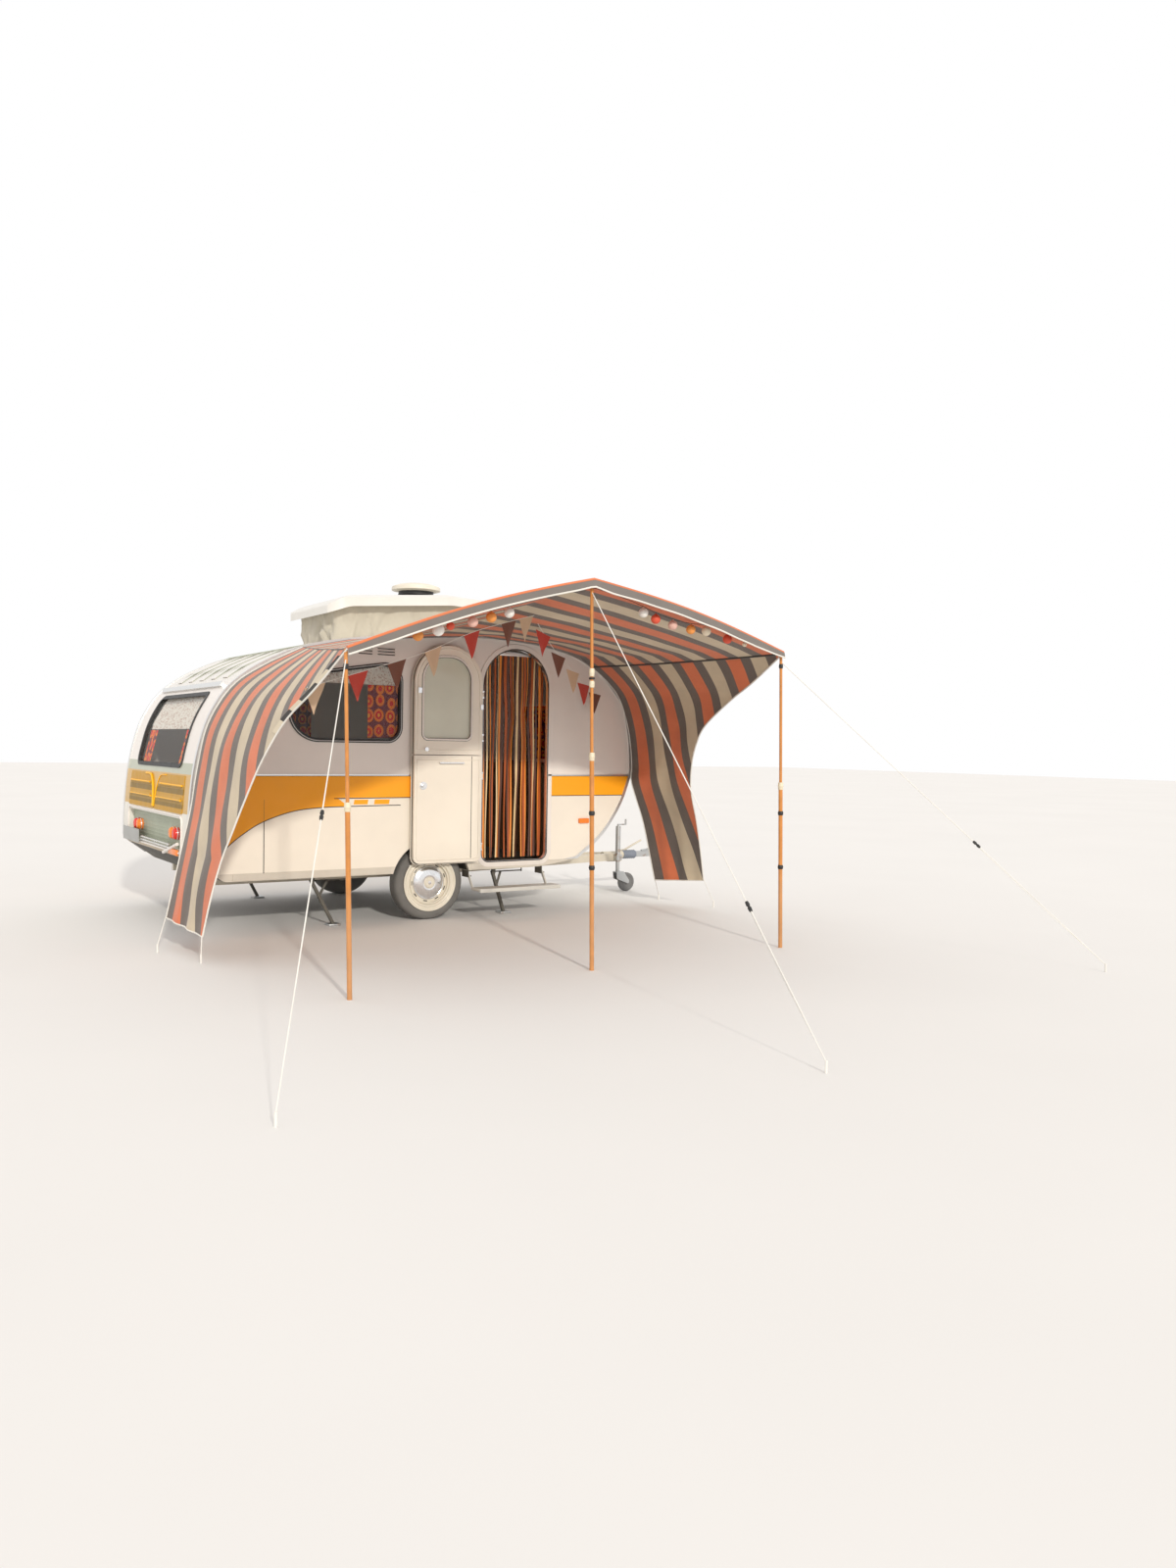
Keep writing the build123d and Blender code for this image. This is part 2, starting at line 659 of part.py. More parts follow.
AXLE_X = 120
AXLE_Z = 268
AXLE_TUBE = 60
ARM_Y = WHEEL_Y - 116
axle_parts = [beam((AXLE_X, -ARM_Y, AXLE_Z), (AXLE_X, ARM_Y, AXLE_Z), AXLE_TUBE, AXLE_TUBE)]
saddle_z = AXLE_Z + AXLE_TUBE / 2 - 1
for side in (-1, 1):
    y = side * SIDE_BEAM_Y
    axle_parts.append(block(AXLE_X - 60, AXLE_X + 60, y - 34, y + 34, saddle_z, FLOOR_Z - BEAM_HEIGHT))
    axle_parts.append(beam((AXLE_X + 24, side * ARM_Y, AXLE_Z), (-24, side * ARM_Y, WHEEL_R), 26, 52))
    axle_parts.append(rod((0, side * ARM_Y, WHEEL_R), (0, side * (WHEEL_Y + 6), WHEEL_R), STUB_R))
save("axle_beam", fuse(*axle_parts))

# Road wheels

RIM_SLOTS = 12


def turned(corners, side):
    """Solid of revolution about the axle; corners are (radius, y outward, corner radius)."""
    wire = loop(corners, lambda u, v: Vector(0, side * (WHEEL_Y + v), WHEEL_R + u))
    return Solid.revolve(Face(wire), 360, Axis((0, 0, WHEEL_R), (0, 1, 0)))


def tyre(side):
    half = TYRE_WIDTH / 2
    bead, flank, shoulder = RIM_R + 1, RIM_R + 52, WHEEL_R - 16
    return turned([
        (bead, -half + 18, 4), (bead, half - 18, 4), (flank, half, 30), (shoulder, half - 8, 14),
        (WHEEL_R, half - 26, 20), (WHEEL_R, -half + 26, 20), (shoulder, -half + 8, 14), (flank, -half, 30),
    ], side)


def rim(side):
    half = TYRE_WIDTH / 2
    outer, inner, edge = RIM_R + 0.7, RIM_R - 7, RIM_R - 5
    barrel = turned([
        (inner, -half + 16, 0), (outer, -half + 16, 0), (outer, half - 16, 0), (inner, half - 16, 0),
    ], side)
    lip = turned([
        (inner, half - 20, 0), (outer, half - 20, 0), (outer, half - 4, 3), (inner - 3, half - 4, 3),
    ], side)
    disc = turned([
        (0, 8, 0), (104, 8, 0), (118, 30, 0), (edge, 30, 0),
        (edge, 36, 0), (114, 36, 0), (100, 14, 0), (0, 14, 0),
    ], side)
    drum = turned([
        (HUB_BORE_R, -70, 0), (112, -70, 4), (112, 4, 4),
        (60, 4, 0), (60, 8.4, 0), (HUB_BORE_R, 8.4, 0),
    ], side)
    wheel = fuse(barrel, lip, disc, drum)
    wheel = wheel - rod((0, side * (WHEEL_Y - 80), WHEEL_R), (0, side * (WHEEL_Y + 9), WHEEL_R), HUB_BORE_R)
    y_low, y_high = sorted((side * (WHEEL_Y + 20), side * (WHEEL_Y + 50)))
    slot = block(-14, 14, y_low, y_high, WHEEL_R + 128, WHEEL_R + 142)
    for i in range(RIM_SLOTS):
        wheel = wheel - slot.rotate(Axis((0, 0, WHEEL_R), (0, 1, 0)), i * 360 / RIM_SLOTS)
    return wheel


def hubcap(side):
    return turned([
        (0, 14.3, 0), (96, 14.3, 0), (102, 37, 0), (104, 44, 0),
        (92, 58, 14), (44, 66, 10), (36, 74, 4), (0, 74, 0),
    ], side)


for side, name in ((-1, "near"), (1, "far")):
    save(f"tyre_{name}", tyre(side))
    save(f"wheel_rim_{name}", rim(side), hubcap(side))

# Steadies: each leg turns down from a bracket, held by a brace of half its length

LEG_SIDES = ((-1, "near"), (1, "far"))
under_parts = []
for end, pivot_x, lean in STEADIES:
    for side, name in LEG_SIDES:
        y = side * STEADY_Y
        pivot = (pivot_x, STEADY_PIVOT_Z)
        foot = (pivot_x + lean, 8)
        length = hypot(foot[0] - pivot[0], foot[1] - pivot[1])
        ux, uz = (foot[0] - pivot[0]) / length, (foot[1] - pivot[1]) / length
        leg = beam((pivot[0] - ux * 12, y, pivot[1] - uz * 12), (foot[0], y, foot[1] + 6), STEADY_LEG_W, 22)
        leg = leg - rod((pivot[0], y - 40, pivot[1]), (pivot[0], y + 40, pivot[1]), 6 + PIN_PLAY)
        mid = (pivot[0] + ux * BRACE_REACH, pivot[1] + uz * BRACE_REACH)
        leg = leg + rod((mid[0], y + STEADY_LEG_W / 2, mid[1]), (mid[0], y + STEADY_LEG_W / 2 + 12, mid[1]), 5)
        pad_plan = rect(foot[0] - PAD_HALF, y - PAD_HALF, foot[0] + PAD_HALF, y + PAD_HALF, 12)
        save(f"steady_leg_{end}_{name}", leg + plate_xy(pad_plan, 0, 14))
        nut = (pivot[0] + 2 * BRACE_REACH * ux, pivot[1])
        by = y + STEADY_LEG_W / 2 + 7
        brace = beam((mid[0] - ux * 10, by, mid[1] + uz * 10), (nut[0], by, nut[1]), 8, 18)
        brace = brace - rod((mid[0], by - 20, mid[1]), (mid[0], by + 20, mid[1]), 5 + PIN_PLAY)
        screw_y = by + 4 + SEAM + 3 + SCREW_R
        brace = brace + rod((nut[0], by, nut[1]), (nut[0], screw_y - SCREW_R - SEAM, nut[1]), 7)
        screw_end = pivot_x + 2 * BRACE_REACH + 12
        screw = rod((pivot_x + 10, screw_y, STEADY_PIVOT_Z), (screw_end, screw_y, STEADY_PIVOT_Z), SCREW_R)
        for x in (pivot_x + 10, screw_end - 6):
            y0, y1 = screw_y - SCREW_R, screw_y + SCREW_R
            screw = screw + block(x, x + 6, y0, y1, STEADY_PIVOT_Z - 8, FLOOR_Z)
        under_parts.append(screw)
        save(f"steady_brace_{end}_{name}", brace)
        cheek_lo = block(pivot_x - 16, pivot_x + 16, y - 22, y - 17, STEADY_PIVOT_Z - 12, FLOOR_Z)
        pin = rod((pivot_x, y - 22, STEADY_PIVOT_Z), (pivot_x, y + STEADY_LEG_W / 2 + 1, STEADY_PIVOT_Z), 6)
        under_parts.append(cheek_lo + pin)

# Folding step on hangers under the sill

hang_xs = (STEP_X0 + 30, STEP_X1 - 30)
for x in hang_xs:
    ear = block(x - 26, x - 20, STEP_HINGE_Y - 10, OUTER_Y + 83, STEP_HINGE_Z - 10, FLOOR_Z + 40)
    ear = ear - body_slab(OUTER_Y - 40, 0)
    pin = rod((x - 26, STEP_HINGE_Y, STEP_HINGE_Z), (x + 6, STEP_HINGE_Y, STEP_HINGE_Z), 5)
    under_parts.append(ear + pin)
save("underfloor_brackets", under_parts)

tread_plan = rect(STEP_X0, OUTER_Y - STEP_OUT, STEP_X1, OUTER_Y - STEP_IN, 18)
step_parts = [plate_xy(tread_plan, STEP_TREAD_Z - STEP_TREAD_THICK, STEP_TREAD_Z)]
for x in hang_xs:
    arm_foot = (x - 10, STEP_HINGE_Y - 56, STEP_TREAD_Z - 8)
    step_parts.append(beam((x - 10, STEP_HINGE_Y + 12, STEP_HINGE_Z + 9), arm_foot, 10, 22))
    strap_z = STEP_TREAD_Z - 11
    step_parts.append(block(x - 15, x - 5, OUTER_Y - STEP_OUT + 25, STEP_HINGE_Y - 46, strap_z - 14, strap_z))
step = fuse(*step_parts)
for x in hang_xs:
    step = step - rod((x - 30, STEP_HINGE_Y, STEP_HINGE_Z), (x + 10, STEP_HINGE_Y, STEP_HINGE_Z), 5 + PIN_PLAY)
save("folding_step", step)

# Overrun coupling with its gaiter, brake lever and ball socket

head_x0 = 2650
housing = fuse(
    rod((2270, 0, COUPLING_Z), (2505, 0, COUPLING_Z), 36),
    block(2290, 2440, -80, 80, COUPLING_Z - 53, COUPLING_Z - 43.3),
    block(2300, 2430, -20, 20, COUPLING_Z - 44, COUPLING_Z - 30),
)
lever = fuse(
    rod((2560, 48, COUPLING_Z + 40), (2760, 48, COUPLING_Z + 128), 9),
    rod((2560, 48, COUPLING_Z + 40), (2560, -6, COUPLING_Z + 30), 9),
    beam((2470, 30, COUPLING_Z + 28), (2575, 30, COUPLING_Z + 40), 12, 26),
)
save("overrun_housing", fuse(housing, lever) - rod((2500, 0, COUPLING_Z), (2700, 0, COUPLING_Z), 43))

gaiter = []
GAITER_R = 42
GAITER_PLEATS = 6
pleat = (head_x0 - 2505.6) / GAITER_PLEATS
for i in range(GAITER_PLEATS):
    x = 2505.3 + i * pleat
    for start_x, r0, r1 in ((x, GAITER_R - 8, GAITER_R), (x + pleat / 2, GAITER_R, GAITER_R - 8)):
        plane = Plane((start_x, 0, COUPLING_Z), z_dir=(1, 0, 0))
        gaiter.append(Solid.make_cone(r0, r1, pleat / 2, plane))
save("coupling_gaiter", fuse(*gaiter))

head = fuse(
    beam((head_x0, 0, COUPLING_Z), (BALL_X - 20, 0, COUPLING_Z), 58, 52),
    rod((BALL_X, 0, COUPLING_Z - 22), (BALL_X, 0, COUPLING_Z + 34), 44),
    beam((BALL_X - 150, 0, COUPLING_Z + 30), (BALL_X + 30, 0, COUPLING_Z + 54), 26, 16),
)
head = head - rod((BALL_X, 0, COUPLING_Z - 30), (BALL_X, 0, COUPLING_Z + 12), BALL_R)
save("coupling_head", head)

# Jockey wheel: a clamped outer tube, the sliding stem, its fork and the wheel

tube = rod((JOCKEY_X, JOCKEY_Y, JOCKEY_TUBE_FOOT_Z), (JOCKEY_X, JOCKEY_Y, 620), JOCKEY_TUBE_R)
tube = tube - rod((JOCKEY_X, JOCKEY_Y, 200), (JOCKEY_X, JOCKEY_Y, 600), JOCKEY_STEM_R + PIN_PLAY)
clamp = block(JOCKEY_X - 30, JOCKEY_X + 30, JOCKEY_Y - 28, -60, COUPLING_Z - 36, COUPLING_Z + 16) - chassis
clamp = clamp - rod((JOCKEY_X, JOCKEY_Y, 200), (JOCKEY_X, JOCKEY_Y, 600), JOCKEY_TUBE_R)
crank = fuse(
    rod((JOCKEY_X, JOCKEY_Y, 620), (JOCKEY_X, JOCKEY_Y, 640), 10),
    rod((JOCKEY_X - 8, JOCKEY_Y, 634), (JOCKEY_X + 92, JOCKEY_Y, 634), 6),
    rod((JOCKEY_X + 86, JOCKEY_Y, 634), (JOCKEY_X + 86, JOCKEY_Y, 684), 9),
)
save("jockey_tube", fuse(tube, clamp, crank))
save("jockey_stem", rod((JOCKEY_X, JOCKEY_Y, 190), (JOCKEY_X, JOCKEY_Y, 500), JOCKEY_STEM_R))

axle_x = JOCKEY_X + JOCKEY_TRAIL
fork_crown = plate_xy(rect(JOCKEY_X - 30, JOCKEY_Y - 35, JOCKEY_X + 50, JOCKEY_Y + 35, 8), 182, 189.7)
fork_parts = [fork_crown]
for side in (-1, 1):
    y = JOCKEY_Y + side * 31
    cheek = [
        (JOCKEY_X - 30, 189.7, 0), (JOCKEY_X - 24, 120, 12), (axle_x + 14, 70, 12),
        (axle_x + 16, 104, 12), (JOCKEY_X + 50, 189.7, 0),
    ]
    fork_parts.append(plate_xz(cheek, y - 3, y + 3))
fork_parts.append(rod((axle_x, JOCKEY_Y - 34, JOCKEY_WHEEL_R), (axle_x, JOCKEY_Y + 34, JOCKEY_WHEEL_R), 7))
save("jockey_fork", fuse(*fork_parts))

jockey_face = Face(loop(
    [(7.3, -24, 2), (20, -24, 2), (26, -16, 3), (58, -16, 3), (62, -20, 4), (JOCKEY_WHEEL_R, -20, 14),
     (JOCKEY_WHEEL_R, 20, 14), (62, 20, 4), (58, 16, 3), (26, 16, 3), (20, 24, 2), (7.3, 24, 2)],
    lambda u, v: Vector(axle_x, JOCKEY_Y + v, JOCKEY_WHEEL_R + u)))
save("jockey_wheel", Solid.revolve(jockey_face, 360, Axis((axle_x, 0, JOCKEY_WHEEL_R), (0, 1, 0))))

# Pop-top: crowned lid, fabric bellows and the roof vent


def rim_z(x):
    """Height of the raised lid's lower edge at x, before it drops at the ends."""
    return outline_z(x) + LID_LIFT


def lid_profile(drop, edge, x0, x1):
    """Side outline of the lid: it follows the roof, lifted, and drops at both ends."""
    tail, nose = x0 + 160, 900
    top = [
        (x1, rim_z(x1) + edge - LID_NOSE, 30), (nose, rim_z(nose) + edge + 0.6 * LID_CROWN, 400),
        (400, rim_z(400) + edge + LID_CROWN, 400), (-100, rim_z(-100) + edge + LID_CROWN, 400),
        (tail, rim_z(tail) + edge + 0.5 * LID_CROWN, 400), (x0, rim_z(x0) + edge - LID_TAIL, 24),
    ]
    low = [
        (x0, rim_z(x0) - drop - LID_TAIL, 0), (tail, rim_z(tail) - drop, 300),
        (400, rim_z(400) - drop, 400), (nose, rim_z(nose) - drop, 400),
        (x1, rim_z(x1) - drop - LID_NOSE, 0),
    ]
    return top + low


def crown_block(half, edge, start, finish):
    """Everything under the lid's cross crown, laid along one straight run of the roof."""
    (xa, za), (xb, zb) = start, finish
    cross = [
        (-half - 30, -FAR, 0), (half + 30, -FAR, 0), (half + 30, -8, 0), (half - 110, LID_CROWN - 22, 470),
        (0, LID_CROWN + 8, 2500), (-half + 110, LID_CROWN - 22, 470), (-half - 30, -8, 0),
    ]
    slope = degrees(atan2(zb - za, xb - xa))
    return plate_yz(cross, -FAR, FAR).moved(Location((xa, 0, za + LID_LIFT + edge), (0, -slope, 0)))


def lid_block(shrink, drop, edge):
    x0, x1 = LID_X0 + shrink, LID_X1 - shrink
    half = LID_HALF - shrink
    made = plate_xz(lid_profile(drop, edge, x0, x1), -LID_HALF - 10, LID_HALF + 10)
    plan = rect(x0 - LID_PLAN_OVER, -half, x1 + LID_PLAN_OVER, half, LID_RADIUS - shrink)
    made = made & plate_xy(plan, 1900, 2900)
    runs = sorted(p for p in OUTLINE if p[1] > 2100 and p[0] < 1400)
    for start, finish in zip(runs, runs[1:]):
        made = made & crown_block(half, edge, start, finish)
    return made


lid_form = lid_block(0, 0, LID_EDGE)
lid = lid_form - lid_block(LID_SKIN, 40, LID_EDGE - LID_SKIN)
VENT_X = 300
VENT_R = 205
save("pop_top_lid", lid)

lid_top_z = lid.bounding_box().max.Z
neck = rod((VENT_X, 0, lid_top_z - 60), (VENT_X, 0, lid_top_z + 46), VENT_R - 55)
neck = neck - lid_form.moved(Location((0, 0, SEAM)))
cap_profile = [(0, 40, 0), (VENT_R, 40, 10), (VENT_R, 68, 14), (VENT_R - 60, 92, 40), (0, 104, 0)]
cap_face = Face(loop(cap_profile, lambda u, v: Vector(VENT_X + u, 0, lid_top_z + v)))
vent_cap = Solid.revolve(cap_face, 360, Axis((VENT_X, 0, 0), (0, 0, 1)))
save("roof_vent", neck + vent_cap)


def hatch_plan(inset):
    half = HATCH_HALF - inset
    return rect(HATCH_X0 + inset, -half, HATCH_X1 - inset, half, HATCH_RADIUS - inset)


bell_outer = plate_xy(hatch_plan(SEAM), BELLOWS_FOOT_Z, 2700)
bell_inner = plate_xy(hatch_plan(SEAM + BELLOWS_THICK), BELLOWS_FOOT_Z - 5, 2800)
under_rim = [(x, rim_z(x), 0) for x in (LID_X1, 900, 400, LID_X0)]
under_rim = plate_xz([(LID_X0, 1800, 0), (LID_X1, 1800, 0)] + under_rim, -LID_HALF, LID_HALF)
cavity = lid_block(LID_SKIN, 40, LID_EDGE - LID_SKIN).moved(Location((0, 0, -SEAM)))
bellows = (bell_outer - bell_inner) & (cavity + under_rim)
save("pop_top_bellows", bellows)

# Cabin furniture

floor_top = FLOOR_Z + SKIN
BENCH_TOP_Z = 770
BENCH_X = -1000
SIDE_SEAT_TOP_Z = 760
SIDE_SEAT_Y = 420
SIDE_SEAT_X0 = -300
SIDE_SEAT_X1 = 1100
CABINET_X = 1180
CABINET_TOP_Z = 1210
FURNITURE_Y = INSIDE - 1
CUSHION_Y = INSIDE - 8
inside_slab = body_slab(-FURNITURE_Y, FURNITURE_Y, SKIN + 1)
bench = inside_slab & block(-1790, BENCH_X, -FURNITURE_Y, FURNITURE_Y, floor_top, BENCH_TOP_Z)
cushions = []
for y0, y1 in ((-CUSHION_Y, -6), (6, CUSHION_Y)):
    cushions.append(plate_xy(rect(-1720, y0, BENCH_X + 30, y1, 40), BENCH_TOP_Z + SEAM, BENCH_TOP_Z + 110))
kitchen = inside_slab & block(CABINET_X, FAR, -FURNITURE_Y, FURNITURE_Y, floor_top, CABINET_TOP_Z)
save("front_cabinet", kitchen)
side_seat = block(SIDE_SEAT_X0, SIDE_SEAT_X1, SIDE_SEAT_Y, FURNITURE_Y, floor_top, SIDE_SEAT_TOP_Z)
side_seat = (inside_slab & side_seat) - wheel_box().mirror(Plane.XZ)
side_seat = side_seat - block(-WHEEL_WELL_X, WHEEL_WELL_X, SIDE_SEAT_Y, FAR, 0, WHEEL_R + well_face + 1)
save("bench_bases", bench, side_seat)
side_cushion = rect(SIDE_SEAT_X0 + 10, SIDE_SEAT_Y - 10, SIDE_SEAT_X1 - 10, CUSHION_Y, 40)
cushions.append(plate_xy(side_cushion, SIDE_SEAT_TOP_Z + SEAM, SIDE_SEAT_TOP_Z + 100))
save("seat_cushions", cushions)

CURTAIN = 12
curtain_y = INNER_Y + SEAM
curtains = [
    plate_xz(rect(-520, 1400, -262, 1800, 4), curtain_y, curtain_y + CURTAIN),
    plate_xz(rect(-1130, 1802, -262, 1990, 4), curtain_y, curtain_y + CURTAIN),
]
rear_drape = body_band(-640, 640, SKIN + SEAM, SKIN + SEAM + CURTAIN)
lace = rear_drape & block(-FAR, -1300, -640, 640, 1440, 1760)
lower = [rear_drape & block(-FAR, -1300, y0, y1, 1150, 1438) for y0, y1 in ((-640, -420), (420, 640))]
save("window_curtains", curtains, mirrored(curtains), lace, lower)

STRIP_Y = LEAF_IN_Y + 36
strip_rail = fuse(
    block(DOOR_X0 - 40, DOOR_X1 + 40, STRIP_Y, STRIP_Y + 24, 2085, 2120),
    block(DOOR_X0 - 40, DOOR_X0 - 16, INNER_Y + SEAM, STRIP_Y + 1, 2095, 2115),
    block(DOOR_X1 + 16, DOOR_X1 + 40, INNER_Y + SEAM, STRIP_Y + 1, 2095, 2115),
)
strips = plate_xz(rect(DOOR_X0 - 10, 452, DOOR_X1 + 10, 2100, 20), STRIP_Y, STRIP_Y + 24)
save("strip_curtain", strip_rail + strips)

# Side markers

markers = []
for side in (-1, 1):
    y_low, y_high = sorted((side * HALF_WIDTH, side * (HALF_WIDTH + 16)))
    markers.append(plate_xz(rect(1348, 724, 1446, 764, 6), y_low, y_high))
save("side_markers", markers)

# Awning: canopy and two wings held in the near rail

RAIL_FACE_Y = OUTER_Y - RAIL_PROUD - SEAM
FRONT_OVER = 25


def cloth_section(points):
    """Upright strip of cloth through the given points, one cloth thickness deep."""
    lower = [Vector(x, y, z - CLOTH) for x, y, z in points]
    upper = [Vector(*p) for p in reversed(points)]
    ring = lower + upper
    edges = [Edge.make_line(ring[i], ring[(i + 1) % len(ring)]) for i in range(len(ring))]
    return Wire(edges)


def between(a, b, t):
    return tuple(p + (q - p) * t for p, q in zip(a, b))


def beyond(tip, over):
    return (tip[0], tip[1] - over, tip[2])


rail_xs = (-1050, -560, -70, 715, 1450)
rail_line = [(x, RAIL_FACE_Y, outline_z(x) - 8) for x in rail_xs]
tips = [beyond(t, FRONT_OVER) for t in (TIP_REAR, TIP_MIDDLE, TIP_FRONT)]
front_line = [tips[0], between(tips[0], tips[1], 0.5), tips[1], between(tips[1], tips[2], 0.5), tips[2]]
canopy = Solid.make_loft([cloth_section(rail_line), cloth_section(front_line)], ruled=True)
save("awning_canopy", canopy)

# Wings: inner edge and outer edge, from the top down
REAR_WING = [
    ((-1075, RAIL_FACE_Y, 2036), (-1672, -3300, 1840)),
    ((-1560, RAIL_FACE_Y, 1740), (-1790, -2817, 1456)),
    ((-1790, RAIL_FACE_Y, 1180), (-1882, -2464, 1003)),
    ((-1914, -1083, 643), (-1953, -2196, 629)),
    ((-2075, -1318, 202), (-2017, -1951, 164)),
]
FRONT_WING = [
    ((1475, RAIL_FACE_Y, 2030), (1560, -3150, 1985)),
    ((1752, RAIL_FACE_Y, 1760), (1700, -2500, 1735)),
    ((1868, RAIL_FACE_Y, 1380), (1795, -1980, 1410)),
    ((1886, RAIL_FACE_Y, 1060), (1938, -1740, 1029)),
    ((2040, -950, 740), (2100, -1605, 745)),
    ((2184, -950, 202), (2344, -1430, 240)),
]


def wing(stations, shift):
    sections = []
    for inner, outer in stations:
        a = Vector(*inner)
        b = Vector(*outer)
        off = Vector(shift, 0, 0)
        ring = [a, b, b + off, a + off]
        edges = [Edge.make_line(ring[i], ring[(i + 1) % 4]) for i in range(4)]
        sections.append(Wire(edges))
    return Solid.make_loft(sections, ruled=True)


rear_wing = wing(REAR_WING, -CLOTH)
front_wing = wing(FRONT_WING, CLOTH)
save("awning_wing_rear", rear_wing)
save("awning_wing_front", front_wing)

POLE_R = 14
POLE_TOP_R = 10
POLES = [((-1627, -3332), TIP_REAR), ((-37, -3272), TIP_MIDDLE), ((1573, -3212), TIP_FRONT)]
PEGS = [(-2645, -5148), (-432, -5644), (2787, -4879)]
WING_PEGS = [(-2159, -1440), (-2021, -1937), (2351, -793), (2466, -1422)]
PEG_TOP = 46
GUY_R = 3


def largest(shape):
    return max(solids_of(shape), key=lambda solid: solid.volume)


canopy_under = canopy.moved(Location((0, 0, -SEAM)))
poles = []
guys = []
for (foot_x, foot_y), tip in POLES:
    foot = (foot_x, foot_y, 0)
    top = (tip[0], tip[1], tip[2] - CLOTH / 2)
    joint = between(foot, top, 0.55)
    poles.append(largest(rod(foot, joint, POLE_R) + rod(joint, top, POLE_TOP_R) - canopy_under))
save("awning_poles", poles)


def pegged(line, peg_x, peg_y):
    return line + rod((peg_x, peg_y, 0), (peg_x, peg_y, PEG_TOP + 8), 6)


for ((foot_x, foot_y), tip), (peg_x, peg_y) in zip(POLES, PEGS):
    foot = (foot_x, foot_y, 0)
    start = between(foot, tip, 0.97)
    line = rod(start, (peg_x, peg_y, PEG_TOP), GUY_R) - rod(foot, tip, POLE_TOP_R + SEAM)
    guys.append(pegged(largest(line), peg_x, peg_y))
wings = [(rear_wing, REAR_WING[-1], -1), (front_wing, FRONT_WING[-1], 1)]
tethers = [(cloth, corner, side) for cloth, hem, side in wings for corner in hem]
for (cloth, corner, side), (peg_x, peg_y) in zip(tethers, WING_PEGS):
    start = (corner[0] + side * CLOTH / 2, corner[1], corner[2] + 4)
    line = rod(start, (peg_x, peg_y, PEG_TOP), GUY_R)
    for off in ((0, 0, -SEAM), (SEAM, 0, 0), (-SEAM, 0, 0), (0, -SEAM, 0), (0, SEAM, 0)):
        line = line - cloth.moved(Location(off))
    guys.append(pegged(largest(line), peg_x, peg_y))
save("awning_guys", guys)
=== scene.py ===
import math
import random

import bmesh
import bpy
from mathutils import Matrix, Vector


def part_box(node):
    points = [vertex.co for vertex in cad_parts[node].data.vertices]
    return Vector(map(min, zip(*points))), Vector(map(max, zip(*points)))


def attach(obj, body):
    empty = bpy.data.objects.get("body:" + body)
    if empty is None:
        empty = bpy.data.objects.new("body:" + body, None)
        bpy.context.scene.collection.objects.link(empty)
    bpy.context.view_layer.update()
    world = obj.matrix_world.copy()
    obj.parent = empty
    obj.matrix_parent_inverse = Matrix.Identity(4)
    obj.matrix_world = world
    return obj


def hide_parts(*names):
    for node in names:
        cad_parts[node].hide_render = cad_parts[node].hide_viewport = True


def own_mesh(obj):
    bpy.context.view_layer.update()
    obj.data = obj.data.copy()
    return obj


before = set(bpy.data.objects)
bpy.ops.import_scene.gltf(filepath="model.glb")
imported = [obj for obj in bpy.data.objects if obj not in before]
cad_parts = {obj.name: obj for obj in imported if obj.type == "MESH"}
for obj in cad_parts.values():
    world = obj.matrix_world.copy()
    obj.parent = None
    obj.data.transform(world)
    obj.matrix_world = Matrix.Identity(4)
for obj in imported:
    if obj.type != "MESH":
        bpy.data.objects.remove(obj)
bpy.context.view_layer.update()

# The body that most pieces ride on, and places of the model in metres
HOME = "caravan"
WALL_Y = 0.983
RAIL_Y = -0.9913
AXLE_Z = 0.2875
WHEEL_Y = 0.878


# Camera, at the place and turn found from the photograph

EYE = (-4.0206, -9.1666, 1.3654)
YAW, PITCH, ROLL = math.radians(56.29), math.radians(-1.828), math.radians(0.982)
# Focal length and picture height in the photograph's pixels, sensor height in millimetres
FOCAL_PIXELS, PICTURE_PIXELS, SENSOR_HEIGHT = 1194.9, 1600, 24
ahead = Vector((math.cos(YAW) * math.cos(PITCH), math.sin(YAW) * math.cos(PITCH), math.sin(PITCH)))
level_right = Vector((math.sin(YAW), -math.cos(YAW), 0))
level_up = level_right.cross(ahead)
right = level_right * math.cos(ROLL) + level_up * math.sin(ROLL)
up = level_up * math.cos(ROLL) - level_right * math.sin(ROLL)
bpy.ops.object.camera_add()
camera = bpy.context.object
camera.matrix_world = Matrix.Translation(EYE) @ Matrix(
    (
        (right.x, up.x, -ahead.x, 0),
        (right.y, up.y, -ahead.y, 0),
        (right.z, up.z, -ahead.z, 0),
        (0, 0, 0, 1),
    )
)
camera.data.sensor_fit = "VERTICAL"
camera.data.sensor_height = SENSOR_HEIGHT
camera.data.lens = FOCAL_PIXELS * SENSOR_HEIGHT / PICTURE_PIXELS
camera.data.clip_end = 200
bpy.context.scene.camera = camera


# Finishes


